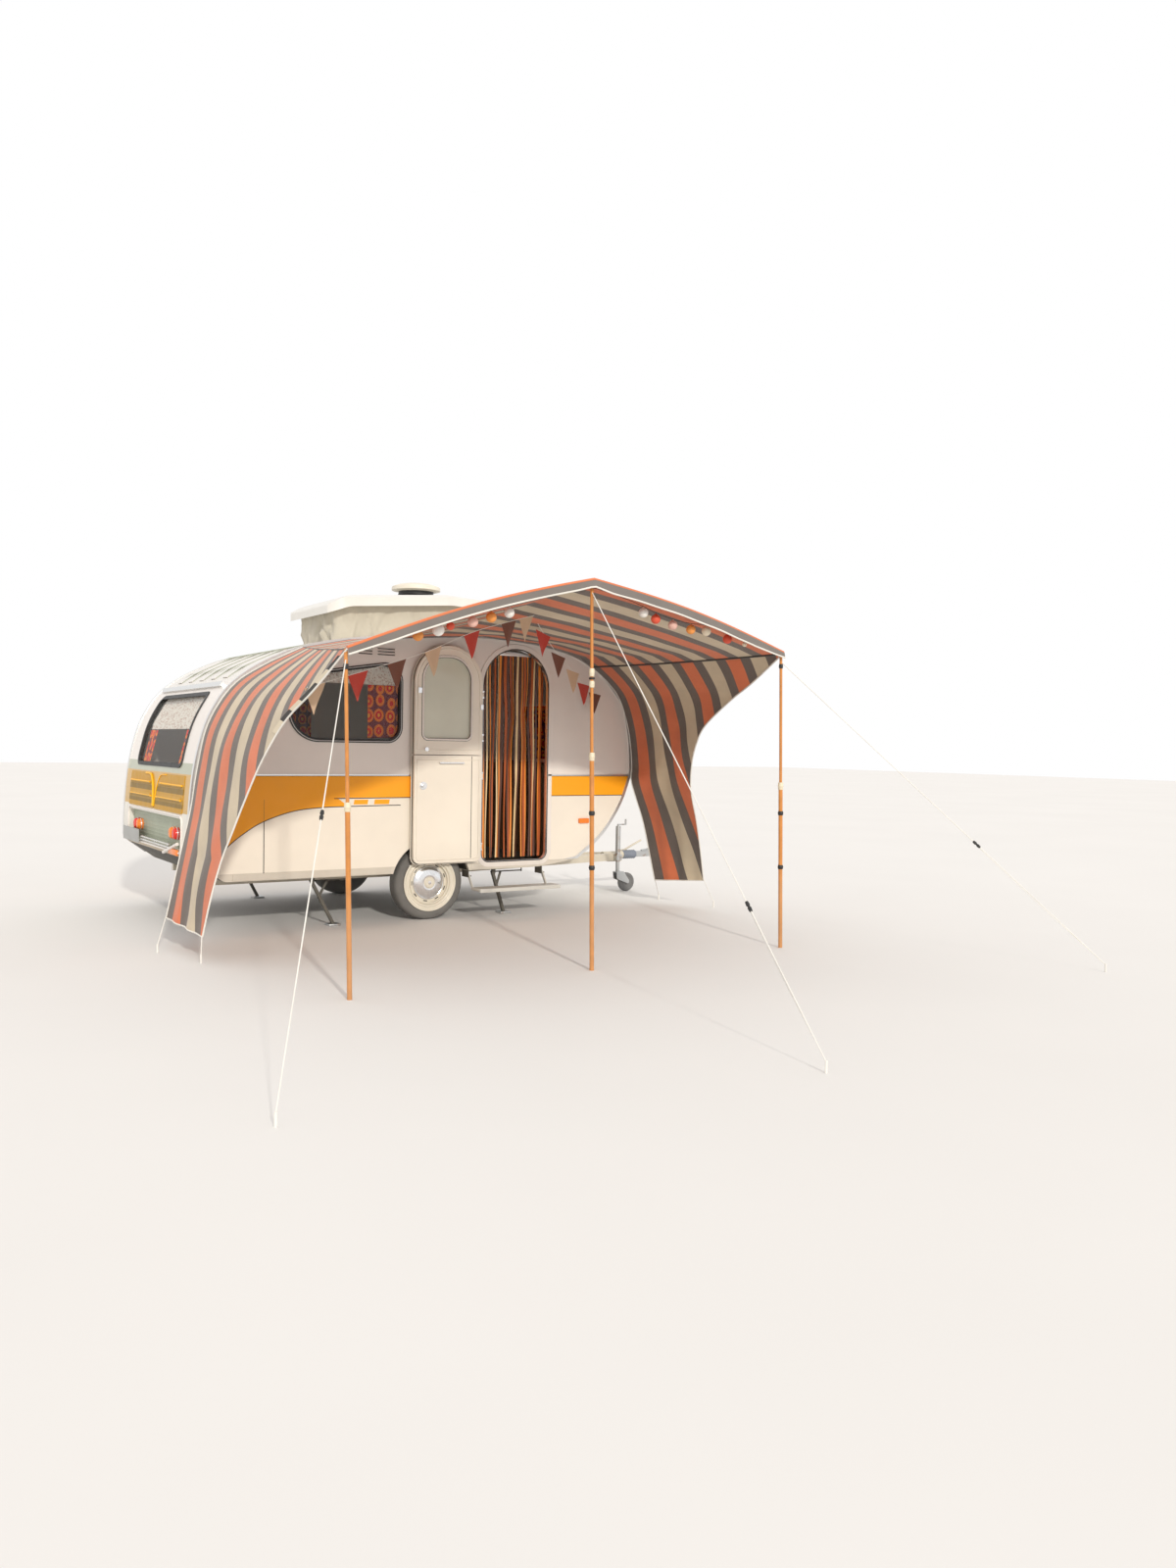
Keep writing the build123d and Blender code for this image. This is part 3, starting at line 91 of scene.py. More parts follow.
class Finish:
    """A node material that is built up one step at a time."""

    def __init__(self, name, slot, colour, roughness, metallic=0.0, place="Object"):
        self.material = bpy.data.materials.new(name)
        self.material["slot_name"] = slot
        self.material.use_nodes = True
        self.tree = self.material.node_tree
        self.shader = self.tree.nodes["Principled BSDF"]
        self.shader.inputs["Base Color"].default_value = (*colour, 1)
        self.shader.inputs["Roughness"].default_value = roughness
        self.shader.inputs["Metallic"].default_value = metallic
        self.where = self.tree.nodes.new("ShaderNodeTexCoord").outputs[place]

    def node(self, kind, **values):
        made = self.tree.nodes.new(kind)
        for key, value in values.items():
            setattr(made, key, value)
        return made

    def link(self, source, target):
        self.tree.links.new(source, target)

    def noise(self, scale, detail, stretch=(1, 1, 1)):
        mapping = self.node("ShaderNodeMapping")
        mapping.inputs["Scale"].default_value = stretch
        self.link(self.where, mapping.inputs["Vector"])
        noise = self.node("ShaderNodeTexNoise")
        noise.inputs["Scale"].default_value = scale
        noise.inputs["Detail"].default_value = detail
        noise.inputs["Roughness"].default_value = 0.55
        self.link(mapping.outputs["Vector"], noise.inputs["Vector"])
        return noise.outputs["Fac"]

    def ramp(self, source, stops, constant=False):
        ramp = self.node("ShaderNodeValToRGB")
        if constant:
            ramp.color_ramp.interpolation = "CONSTANT"
        marks = ramp.color_ramp.elements
        while len(marks) < len(stops):
            marks.new(0.5)
        for mark, (at, colour) in zip(marks, stops):
            mark.position = at
            mark.color = (*colour, 1)
        self.link(source, ramp.inputs["Fac"])
        return ramp.outputs["Color"]

    def maths(self, operation, first, second=0.0):
        made = self.node("ShaderNodeMath", operation=operation)
        for socket, value in zip(made.inputs, (first, second)):
            if isinstance(value, (int, float)):
                socket.default_value = value
            else:
                self.link(value, socket)
        return made.outputs["Value"]

    def mix(self, share, first, second, blend="MIX"):
        made = self.node("ShaderNodeMix", data_type="RGBA", blend_type=blend)
        for name, value in (("Factor", share), ("A", first), ("B", second)):
            sockets = [s for s in made.inputs if s.name == name and (name == "Factor" or s.type == "RGBA")]
            if isinstance(value, (int, float)):
                sockets[0].default_value = value
            elif isinstance(value, tuple):
                sockets[0].default_value = (*value, 1)
            else:
                self.link(value, sockets[0])
        return [s for s in made.outputs if s.type == "RGBA"][0]

    def axis(self, name):
        split = self.node("ShaderNodeSeparateXYZ")
        self.link(self.where, split.inputs["Vector"])
        return split.outputs[name]

    def paint(self, source):
        self.link(source, self.shader.inputs["Base Color"])

    def dull(self, source, low, high):
        span = self.node("ShaderNodeMapRange")
        span.inputs["To Min"].default_value = low
        span.inputs["To Max"].default_value = high
        self.link(source, span.inputs["Value"])
        self.link(span.outputs["Result"], self.shader.inputs["Roughness"])

    def bump(self, source, height, strength=0.6):
        bump = self.node("ShaderNodeBump")
        bump.inputs["Distance"].default_value = height
        bump.inputs["Strength"].default_value = strength
        self.link(source, bump.inputs["Height"])
        self.link(bump.outputs["Normal"], self.shader.inputs["Normal"])

    def set(self, **values):
        for key, value in values.items():
            self.shader.inputs[key.replace("_", " ")].default_value = value


def tint(colour, factor):
    return tuple(min(1.0, c * factor) for c in colour)


def enamel(name, slot, colour, roughness=0.28, grime=0.9, scale=2.2, coat=0.35):
    """Old sprayed paint: faint clouding, dust low down and a soft waviness."""
    f = Finish(name, slot, colour, roughness)
    clouds = f.noise(scale, 5)
    base = f.ramp(clouds, [(0.3, tint(colour, grime)), (0.65, colour)])
    height = f.axis("Z")
    low = f.node("ShaderNodeMapRange")
    low.inputs["From Min"].default_value = 0.38
    low.inputs["From Max"].default_value = 0.62
    low.inputs["To Min"].default_value = 0.35
    low.inputs["To Max"].default_value = 0.0
    f.link(height, low.inputs["Value"])
    spots = f.noise(9, 6, (1, 1, 0.4))
    dust = f.maths("MULTIPLY", low.outputs["Result"], spots)
    f.paint(f.mix(dust, base, (0.42, 0.38, 0.30)))
    f.dull(f.noise(14, 3), roughness * 0.8, roughness * 1.5)
    f.bump(f.noise(5, 2), 0.0008, 0.35)
    f.set(Coat_Weight=coat, Coat_Roughness=0.12)
    return f.material


def moulded(name, slot, colour, roughness=0.45, grain=220, wear=0.88):
    """Plastic or rubber with a fine grain and faded patches."""
    f = Finish(name, slot, colour, roughness)
    f.paint(f.ramp(f.noise(7, 4), [(0.3, tint(colour, wear)), (0.7, colour)]))
    f.dull(f.noise(30, 3), roughness * 0.8, min(1, roughness * 1.3))
    f.bump(f.noise(grain, 2), 0.0005, 0.5)
    return f.material


def metal(name, slot, colour, roughness=0.3, brush=(1, 1, 24), rust=None):
    f = Finish(name, slot, colour, roughness, 0.95)
    streaks = f.noise(60, 3, brush)
    base = f.ramp(streaks, [(0.3, tint(colour, 0.85)), (0.7, colour)])
    if rust:
        patches = f.ramp(f.noise(16, 6), [(0.56, (0, 0, 0)), (0.72, (1, 1, 1))])
        base = f.mix(patches, base, rust)
    f.paint(base)
    f.dull(streaks, roughness * 0.7, roughness * 1.4)
    f.bump(streaks, 0.0003, 0.4)
    return f.material


def stitched(name, slot, colour, thread, place="UV"):
    """Woven cloth in one colour, from two crossing waves."""
    f = Finish(name, slot, colour, 0.85, place=place)
    f.paint(f.ramp(f.noise(5, 4), [(0.3, tint(colour, 0.88)), (0.7, colour)]))
    weave(f, thread, 0.0006)
    f.set(Sheen_Weight=0.25, Sheen_Roughness=0.5)
    return f.material


def weave(f, thread, height):
    waves = []
    for direction in ("X", "Y"):
        wave = f.node("ShaderNodeTexWave", bands_direction=direction)
        wave.inputs["Scale"].default_value = thread
        wave.inputs["Distortion"].default_value = 0.4
        f.link(f.where, wave.inputs["Vector"])
        waves.append(wave.outputs["Fac"])
    crossed = f.maths("MULTIPLY", waves[0], waves[1])
    f.bump(crossed, height, 0.5)


UPPER_WHITE, LOWER_CREAM = (0.84, 0.79, 0.74), (0.88, 0.82, 0.71)
white_paint = enamel("body_white_enamel", "white_paint", UPPER_WHITE, 0.30, 0.95)
cream_paint = enamel("lower_cream_enamel", "cream_paint", LOWER_CREAM, 0.30, 0.94)


# Height at which the level zones of a paint end
ZONES_TOP = 2.5


def layered(name, slot, steps, roughness=0.30, coat=0.30):
    """Paint in level zones: steps are the height at which each colour starts."""
    f = Finish(name, slot, steps[0][1], roughness)
    span = f.node("ShaderNodeMapRange")
    span.inputs["From Max"].default_value = ZONES_TOP
    f.link(f.axis("Z"), span.inputs["Value"])
    zones = f.ramp(span.outputs["Result"], [(height / ZONES_TOP, colour) for height, colour in steps], True)
    clouds = f.ramp(f.noise(2.2, 5), [(0.3, (0.94, 0.94, 0.94)), (0.65, (1, 1, 1))])
    f.paint(f.mix(1.0, zones, clouds, "MULTIPLY"))
    f.dull(f.noise(14, 3), roughness * 0.8, roughness * 1.5)
    f.bump(f.noise(5, 2), 0.0008, 0.35)
    f.set(Coat_Weight=coat, Coat_Roughness=0.12)
    return f.material


SKIRT, GREEN_GREY, OLIVE = (0.66, 0.61, 0.52), (0.46, 0.49, 0.37), (0.40, 0.25, 0.05)
# The rear wall's amber at the fields' height is the yellow painted darker, as in shade.
FIELD_TONE, FIELD_AMBER_IN_SHADE = (0.80, 0.78, 0.71), (0.62, 0.36, 0.05)
wall_paint = layered(
    "wall_two_tone_enamel", "white_paint",
    [(0.0, SKIRT), (0.425, LOWER_CREAM), (1.10, UPPER_WHITE)],
)
rear_paint = layered(
    "rear_wall_enamel_and_painted_shade", "cream_paint",
    [(0.0, OLIVE), (0.553, FIELD_TONE), (0.846, FIELD_AMBER_IN_SHADE), (1.119, GREEN_GREY), (1.20, UPPER_WHITE)],
)
roof_paint = enamel("roof_white_enamel", "white_paint", (0.78, 0.75, 0.70), 0.34, 0.93)
sill_paint = enamel("sill_beige_enamel", "cream_paint", (0.70, 0.65, 0.56), 0.35, 0.85)
# Painted highlight: the bright yellow of the rear fields' raised edges and lines where light catches them.
field_painted_highlight = enamel("field_edge_painted_highlight", "yellow_paint", (1.0, 0.52, 0.0), 0.42, 0.9, coat=0.1)
field_dark = enamel("field_shade_olive", "yellow_paint", (0.30, 0.19, 0.03), 0.5, 0.85)
yellow_paint = enamel("band_yellow_enamel", "yellow_paint", (1.0, 0.40, 0.0), 0.45, 0.95, coat=0.08)
grey_paint = enamel("step_grey_paint", "grey_paint", (0.64, 0.64, 0.60), 0.5, 0.85)
dark_paint = enamel("underframe_black_paint", "dark_paint", (0.035, 0.034, 0.032), 0.55, 0.7, coat=0.0)
chassis_paint = enamel("drawbar_cream_paint", "chassis_paint", (0.72, 0.66, 0.54), 0.45, 0.8)
rim_paint = enamel("wheel_cream_enamel", "rim_paint", (0.84, 0.79, 0.67), 0.35, 0.88, 9)
pole_paint = enamel("pole_orange_varnish", "pole_paint", (0.62, 0.24, 0.045), 0.35, 0.78, 12)
lid_gloss = moulded("lid_white_gelcoat", "lid_plastic", (0.79, 0.78, 0.74), 0.35, 60, 0.93)
vent_plastic = moulded("vent_cream_plastic", "vent_plastic", (0.80, 0.75, 0.64), 0.4)
seal_rubber = moulded("window_seal_rubber", "seal_rubber", (0.022, 0.022, 0.022), 0.5)
tyre_rubber = moulded("tyre_rubber", "tyre_rubber", (0.17, 0.165, 0.155), 0.75, 160, 0.8)
jockey_rubber = moulded("jockey_grey_rubber", "jockey_tyre", (0.18, 0.18, 0.18), 0.7, 200, 0.8)
gaiter_rubber = moulded("gaiter_blue_grey_rubber", "gaiter_rubber", (0.24, 0.27, 0.33), 0.6, 260)
# The lamp tray is pale paint in the rear recess; its green-grey is painted shade with a painted green
# reflection.
tray_shade_paint = moulded("lamp_tray_painted_shade", "cream_paint", (0.38, 0.42, 0.32), 0.45, 90)
plate_grey = moulded("bare_plate_grey", "plate_plastic", (0.40, 0.41, 0.40), 0.4, 120)
lens_orange = moulded("lens_orange_plastic", "marker_plastic", (0.95, 0.24, 0.015), 0.18, 300)
lens_red = moulded("lens_red_plastic", "lamp_plastic", (0.75, 0.035, 0.02), 0.18, 300)
clamp_plastic = moulded("clamp_cream_plastic", "vent_plastic", (0.78, 0.70, 0.52), 0.45)
cabinet_wood = Finish("cabinet_brown_veneer", "cabinet_wood", (0.30, 0.16, 0.08), 0.45)
grain = cabinet_wood.noise(8, 6, (1, 9, 1))
cabinet_wood.paint(cabinet_wood.ramp(grain, [(0.3, (0.18, 0.09, 0.04)), (0.7, (0.36, 0.20, 0.10))]))
cabinet_wood.bump(grain, 0.0005, 0.4)
cabinet_wood = cabinet_wood.material
trim_metal = metal("trim_aluminium", "aluminium_trim", (0.80, 0.80, 0.79), 0.32, (24, 1, 1))
chrome = metal("hubcap_chrome", "steel", (0.86, 0.86, 0.87), 0.14, (1, 1, 1))
steel = metal("galvanised_steel", "steel", (0.56, 0.57, 0.57), 0.42, (1, 1, 12), (0.30, 0.17, 0.09))
white_cord = stitched("guy_white_cord", "guy_cord", (0.84, 0.83, 0.78), 160, "Object")
piping_white = stitched("piping_white_braid", "guy_cord", (0.80, 0.78, 0.72), 160, "Object")
seam_dark = stitched("seam_dark_braid", "awning_fabric", (0.05, 0.045, 0.04), 160, "Object")
valance_grey = stitched("valance_grey_canvas", "awning_fabric", (0.19, 0.17, 0.155), 170)
bellows_cloth = stitched("bellows_grey_canvas", "bellows_fabric", (0.60, 0.56, 0.46), 190)
valance_orange = stitched("valance_orange_canvas", "awning_fabric", (0.72, 0.20, 0.075), 170)
cushion_cloth = stitched("seat_brown_cloth", "seat_fabric", (0.42, 0.13, 0.05), 190, "Object")


def glazing(name, slot, colour, roughness, alpha):
    f = Finish(name, slot, colour, roughness)
    f.paint(f.ramp(f.noise(3, 3), [(0.3, tint(colour, 0.9)), (0.7, colour)]))
    f.dull(f.noise(20, 3), roughness * 0.7, roughness * 1.4)
    f.set(Alpha=alpha, Specular_IOR_Level=0.7, Coat_Weight=0.6)
    return f.material


clear_pane = glazing("side_window_glass", "window_glass", (0.10, 0.12, 0.10), 0.05, 0.13)
frosted_pane = glazing("door_frosted_acrylic", "door_glass", (0.66, 0.67, 0.55), 0.35, 1.0)

# Awning cloth: stripes by the distance from the rail, kept in the sheet's own map
ORANGE, BEIGE, CHARCOAL = (0.72, 0.185, 0.075), (0.64, 0.54, 0.39), (0.150, 0.122, 0.105)
STRIPE_REPEAT = 0.505


def striped(name):
    f = Finish(name, "awning_fabric", ORANGE, 0.85, place="UV")
    turn = f.maths("FRACT", f.maths("DIVIDE", f.axis("X"), STRIPE_REPEAT))
    stripes = f.ramp(turn, [(0.0, CHARCOAL), (0.20, ORANGE), (0.5, CHARCOAL), (0.70, BEIGE)], True)
    fade = f.ramp(f.noise(3, 5), [(0.3, (0.82, 0.82, 0.82)), (0.7, (1, 1, 1))])
    f.paint(f.mix(1.0, stripes, fade, "MULTIPLY"))
    weave(f, 170, 0.0006)
    f.set(Sheen_Weight=0.2, Sheen_Roughness=0.5)
    return f.material


canopy_cloth = striped("canopy_striped_canvas")
wing_cloth = striped("wing_striped_canvas")

PATCH_REPEAT, PATCH_DARK, PATCH_LIGHT = 0.173, (0.040, 0.036, 0.032), (0.66, 0.58, 0.44)
patch_cloth = Finish("hem_patch_canvas", "awning_fabric", CHARCOAL, 0.85, place="UV")
patch_turn = patch_cloth.maths("FRACT", patch_cloth.maths("DIVIDE", patch_cloth.axis("Y"), PATCH_REPEAT))
patch_cloth.paint(patch_cloth.ramp(patch_turn, [(0.0, PATCH_DARK), (0.52, PATCH_LIGHT)], True))
weave(patch_cloth, 170, 0.0006)
patch_cloth = patch_cloth.material


# Making pieces


def free():
    if bpy.context.object and bpy.context.object.mode != "OBJECT":
        bpy.ops.object.mode_set(mode="OBJECT")
    bpy.ops.object.select_all(action="DESELECT")


def pick(piece):
    """Selects one piece and nothing else."""
    free()
    piece.select_set(True)
    bpy.context.view_layer.objects.active = piece


def settle(piece, name, material, body=HOME, smooth=35):
    """Names a piece, moves its place into its mesh, and gives it a finish and a body."""
    pick(piece)
    if piece.type != "MESH":
        bpy.ops.object.convert(target="MESH")
        piece = bpy.context.object
    bpy.ops.object.transform_apply(location=True, rotation=True, scale=True)
    piece.name = name
    piece.data.name = name
    piece.data.materials.clear()
    piece.data.materials.append(material)
    bpy.ops.object.shade_smooth_by_angle(angle=math.radians(smooth))
    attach(piece, body)
    free()
    return piece


def harden(piece, kind, **values):
    """Adds one modifier and applies it."""
    pick(piece)
    made = piece.modifiers.new(kind.title(), kind)
    for key, value in values.items():
        setattr(made, key, value)
    bpy.ops.object.modifier_apply(modifier=made.name)


def bar(name, low, high, material, body=HOME, round_off=0.002):
    """A rounded block between two corners."""
    free()
    middle = [(a + b) / 2 for a, b in zip(low, high)]
    size = [abs(b - a) for a, b in zip(low, high)]
    bpy.ops.mesh.primitive_cube_add(size=1, location=middle, scale=size)
    piece = bpy.context.object
    bpy.ops.object.transform_apply(location=True, rotation=True, scale=True)
    harden(piece, "BEVEL", width=min(round_off, min(size) * 0.45), segments=2)
    return settle(piece, name, material, body)


def between(stations, at):
    """Value at a place along straight runs; each station is a place and the value there."""
    for (start, first), (end, last) in zip(stations, stations[1:]):
        if at <= end:
            return first + (last - first) * (at - start) / (end - start)
    return stations[-1][1]


def curve_through(points, steps):
    """Smooth run of points through the given ones."""
    points = [Vector(p) for p in points]
    made = []
    for i in range(len(points) - 1):
        b, c = points[i], points[i + 1]
        a = points[i - 1] if i > 0 else b + (b - c)
        d = points[i + 2] if i + 2 < len(points) else c + (c - b)
        for k in range(steps):
            t = k / steps
            square = (2 * a - 5 * b + 4 * c - d) * t**2
            cube = (3 * b - a - 3 * c + d) * t**3
            made.append(0.5 * ((2 * b) + (c - a) * t + square + cube))
    made.append(points[-1])
    return made


def tube(name, points, radius, material, body=HOME, closed=False):
    """A round bead or rod along a run of points."""
    free()
    bpy.ops.curve.primitive_nurbs_path_add()
    piece = bpy.context.object
    piece.data.splines.clear()
    spline = piece.data.splines.new("POLY")
    spline.points.add(len(points) - 1)
    for point, place in zip(spline.points, points):
        point.co = (*place, 1)
    spline.use_cyclic_u = closed
    piece.data.bevel_depth = radius
    piece.data.bevel_resolution = 3
    piece.data.use_fill_caps = True
    return settle(piece, name, material, body, 50)


def thicken(thick):
    """Gives the flat upright piece that was just made its thickness along y."""
    bpy.ops.object.mode_set(mode="EDIT")
    bpy.ops.mesh.select_all(action="SELECT")
    bpy.ops.mesh.extrude_region_move(TRANSFORM_OT_translate={"value": (0, thick, 0)})
    bpy.ops.mesh.select_all(action="SELECT")
    bpy.ops.mesh.normals_make_consistent(inside=False)
    bpy.ops.object.mode_set(mode="OBJECT")


def sheet_metal(name, outline, y, thick, material):
    """A flat piece on an upright side, from its outline as x and z; thick is along y."""
    free()
    bpy.ops.mesh.primitive_circle_add(vertices=len(outline), fill_type="NGON")
    piece = bpy.context.object
    for vertex, (x, z) in zip(piece.data.vertices, outline):
        vertex.co = (x, y, z)
    thicken(thick)
    return settle(piece, name, material)


def ribbon(name, points, width, y, thick, material, closed=False):
    """A strip of even width on an upright side along points of x and z."""
    count = len(points)
    left, rights = [], []
    for i, (x, z) in enumerate(points):
        before = points[i - 1] if (i > 0 or closed) else points[i]
        after = points[(i + 1) % count] if (i + 1 < count or closed) else points[i]
        along = Vector((after[0] - before[0], after[1] - before[1])).normalized()
        off = Vector((-along.y, along.x)) * width / 2
        left.append((x + off.x, z + off.y))
        rights.append((x - off.x, z - off.y))
    free()
    bpy.ops.mesh.primitive_grid_add(x_subdivisions=1, y_subdivisions=count - 1)
    piece = bpy.context.object
    rows = sorted(piece.data.vertices, key=lambda v: (round(v.co.y, 5), v.co.x))
    for i in range(count):
        rows[2 * i].co = (left[i][0], y, left[i][1])
        rows[2 * i + 1].co = (rights[i][0], y, rights[i][1])
    thicken(thick)
    return settle(piece, name, material)


# Smallest radius of a ring, where a turned piece comes to a point
POINT_R = 0.0002


def turned(name, profile, centre, turn, material, body=HOME, steps=64, closed=False):
    """A turned piece: profile pairs are radius and height along its axis."""
    free()
    before, height = max(profile[0][0], POINT_R), profile[0][1]
    bpy.ops.mesh.primitive_circle_add(vertices=steps, radius=before, location=(0, 0, height))
    piece = bpy.context.object
    bpy.ops.object.mode_set(mode="EDIT")
    bpy.ops.mesh.select_all(action="SELECT")
    run = profile[1:] + ([profile[0]] if closed else [])
    for radius, next_height in run:
        radius = max(radius, POINT_R)
        bpy.ops.mesh.extrude_edges_move(TRANSFORM_OT_translate={"value": (0, 0, next_height - height)})
        share = radius / before
        bpy.ops.transform.resize(value=(share, share, 1), center_override=(0, 0, next_height))
        before, height = radius, next_height
    bpy.ops.mesh.select_all(action="SELECT")
    bpy.ops.mesh.remove_doubles(threshold=0.0003)
    bpy.ops.mesh.normals_make_consistent(inside=False)
    bpy.ops.object.mode_set(mode="OBJECT")
    piece.rotation_euler = turn
    # The circle was added at its own height, which the turn has to carry along
    piece.location = Vector(centre) + piece.rotation_euler.to_matrix() @ Vector((0, 0, profile[0][1]))
    return settle(piece, name, material, body, 40)


def filled(name, made):
    """A new piece in the scene from a finished bmesh."""
    mesh = bpy.data.meshes.new(name)
    made.to_mesh(mesh)
    made.free()
    piece = bpy.data.objects.new(name, mesh)
    bpy.context.collection.objects.link(piece)
    return piece


def cloth_grid(name, surface, columns, rows, material, thick=0.0016):
    """A cloth sheet from surface(s, t), which gives a point and its place on the cloth in metres."""
    made = bmesh.new()
    layer = made.loops.layers.uv.new("cloth")
    places = {}
    grid = []
    for j in range(rows + 1):
        line = []
        for i in range(columns + 1):
            point, place = surface(i / columns, j / rows)
            vertex = made.verts.new(point)
            places[vertex] = place
            line.append(vertex)
        grid.append(line)
    for j in range(rows):
        for i in range(columns):
            face = made.faces.new((grid[j][i], grid[j][i + 1], grid[j + 1][i + 1], grid[j + 1][i]))
            for loop in face.loops:
                loop[layer].uv = places[loop.vert]
    piece = filled(name, made)
    harden(piece, "SOLIDIFY", thickness=thick, offset=0)
    return settle(piece, name, material, smooth=60)


def dress(nodes, material):
    """Gives pieces that come straight from the model their finish."""
    for node in nodes:
        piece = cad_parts[node]
        piece.data.materials.clear()
        piece.data.materials.append(material)
        pick(piece)
        bpy.ops.object.shade_smooth_by_angle(angle=math.radians(28))
    free()


SIDES = ((-1, "near"), (1, "far"))

# Thin lines: two strings of bunting and the wire of the ball lights, hung under the canopy

TIPS = [Vector((-1.660, -3.3093, 1.862)), Vector((-0.070, -3.2496, 2.372)), Vector((1.540, -3.1893, 2.030))]
# How far the canopy's edge lies outside the pole tips, and the wire's share of the way out to it
EDGE_OUT, WIRE_OUT = 0.024, 0.955
LINE_THICK = 0.004


def along_tips(share):
    """Place on the straight line between the pole tips, and its share of that span."""
    if share <= 0.5:
        return TIPS[0].lerp(TIPS[1], share * 2), share * 2
    return TIPS[1].lerp(TIPS[2], share * 2 - 1), share * 2 - 1


def behind_valance(share, lift):
    """Place of the wire a little inside the canopy's edge."""
    place, _ = along_tips(share)
    return Vector((place.x, RAIL_Y + WIRE_OUT * (place.y - EDGE_OUT - RAIL_Y), place.z + lift))


def hanging_line(name, route, diameter, material):
    """A thin line kept as one open curve; gives the points that it runs through."""
    free()
    data = bpy.data.curves.new(name, "CURVE")
    data.dimensions = "3D"
    spline = data.splines.new("NURBS")
    spline.points.add(len(route) - 1)
    for point, place in zip(spline.points, route):
        point.co = (*place, 1)
    spline.order_u = 3
    spline.use_endpoint_u = True
    data.resolution_u = 12
    line = bpy.data.objects.new(name, data)
    bpy.context.collection.objects.link(line)
    bpy.context.view_layer.update()
    bare = bpy.data.meshes.new_from_object(line)
    run = [vertex.co.copy() for vertex in bare.vertices]
    bpy.data.meshes.remove(bare)
    data.bevel_depth = diameter / 2
    data.bevel_resolution = 2
    data.materials.append(material)
    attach(line, HOME)
    return run


def place_at(run, share):
    """Place and direction at a share of a run's length."""
    steps = [(b - a).length for a, b in zip(run, run[1:])]
    goal = share * sum(steps)
    for a, b, step in zip(run, run[1:], steps):
        if goal <= step:
            return a.lerp(b, goal / step), (b - a).normalized()
        goal -= step
    return run[-1], (run[-1] - run[-2]).normalized()


REAR_BUNTING = [
    (-1.702, -2.85, 1.668), (-1.39, -2.75, 1.761), (-1.11, -2.70, 1.847), (-0.818, -2.60, 1.94),
    (-0.495, -2.50, 2.083), (-0.152, -2.40, 2.184), (0.096, -2.30, 2.250),
]
FRONT_BUNTING = [
    (0.248, -2.10, 2.222), (0.481, -1.90, 2.086), (0.874, -1.60, 1.941), (1.174, -1.30, 1.852),
    (1.539, -1.0, 1.779),
]
# Wire of the lights: share between the pole tips, and lift over the straight line
WIRE = [
    (0.100, -0.012), (0.143, -0.006), (0.185, 0.002), (0.209, -0.014), (0.254, -0.014), (0.334, -0.024),
    (0.420, -0.014), (0.500, -0.020), (0.580, -0.008), (0.642, -0.014), (0.674, -0.030), (0.719, -0.027),
    (0.767, -0.012), (0.809, 0.024), (0.869, 0.020), (0.935, 0.004),
]
bunting_runs = {
    "rear": hanging_line("bunting_line_rear", REAR_BUNTING, LINE_THICK, piping_white),
    "front": hanging_line("bunting_line_front", FRONT_BUNTING, LINE_THICK, piping_white),
}
wire_route = [tuple(behind_valance(share, lift)) for share, lift in WIRE]
wire_run = hanging_line("lights_wire", wire_route, LINE_THICK, seam_dark)

flag_colours = {
    "red": stitched("flag_brick_red", "curtain_fabric", (0.52, 0.045, 0.025), 170),
    "brown": stitched("flag_brown", "curtain_fabric", (0.17, 0.055, 0.03), 170),
    "beige": stitched("flag_beige", "curtain_fabric", (0.62, 0.43, 0.28), 170),
}
# Flags: string, share of its length, colour
FLAGS = [
    ("rear", 0.030, "beige"), ("rear", 0.190, "red"), ("rear", 0.337, "brown"), ("rear", 0.496, "beige"),
    ("rear", 0.678, "red"), ("rear", 0.859, "brown"), ("rear", 0.955, "beige"),
    ("front", 0.076, "red"), ("front", 0.285, "brown"), ("front", 0.488, "beige"), ("front", 0.700, "red"),
    ("front", 0.900, "brown"),
]
FLAG_WIDE, FLAG_LONG = 0.150, 0.165


def flag_surface(place, way, turn):
    """Pointed flag that hangs from a place on its line, s along the line and t down."""
    across = Vector((-way.y, way.x, 0)).normalized()

    def surface(s, t):
        u = (s - 0.5) * (1 - t * 0.98)
        curl = 0.012 * math.sin(t * 2.4 + turn) * t + 0.006 * math.sin(u * 9 + turn) * t
        point = place + way * u * FLAG_WIDE + across * curl - Vector((0, 0, FLAG_LONG * t + 0.002))
        return tuple(point), (u * FLAG_WIDE, t * FLAG_LONG)

    return surface


for i, (string, share, colour) in enumerate(FLAGS):
    place, way = place_at(bunting_runs[string], share)
    if string == "front":
        way = (way + level_right * 0.6).normalized()
    surface, finish = flag_surface(place, way, i), flag_colours[colour]
    flag = cloth_grid(f"flag_{string}_{i}", surface, 6, 8, finish, thick=0.001)

ball_colours = {
    "cream": moulded("ball_cream", "vent_plastic", (0.86, 0.76, 0.58), 0.6, 60),
    "white": moulded("ball_white", "vent_plastic", (0.88, 0.85, 0.80), 0.6, 60),
    "orange": moulded("ball_orange", "marker_plastic", (0.88, 0.34, 0.08), 0.6, 60),
    "red": moulded("ball_red", "lamp_plastic", (0.75, 0.10, 0.05), 0.6, 60),
    "pink": moulded("ball_pink", "vent_plastic", (0.80, 0.50, 0.42), 0.6, 60),
}
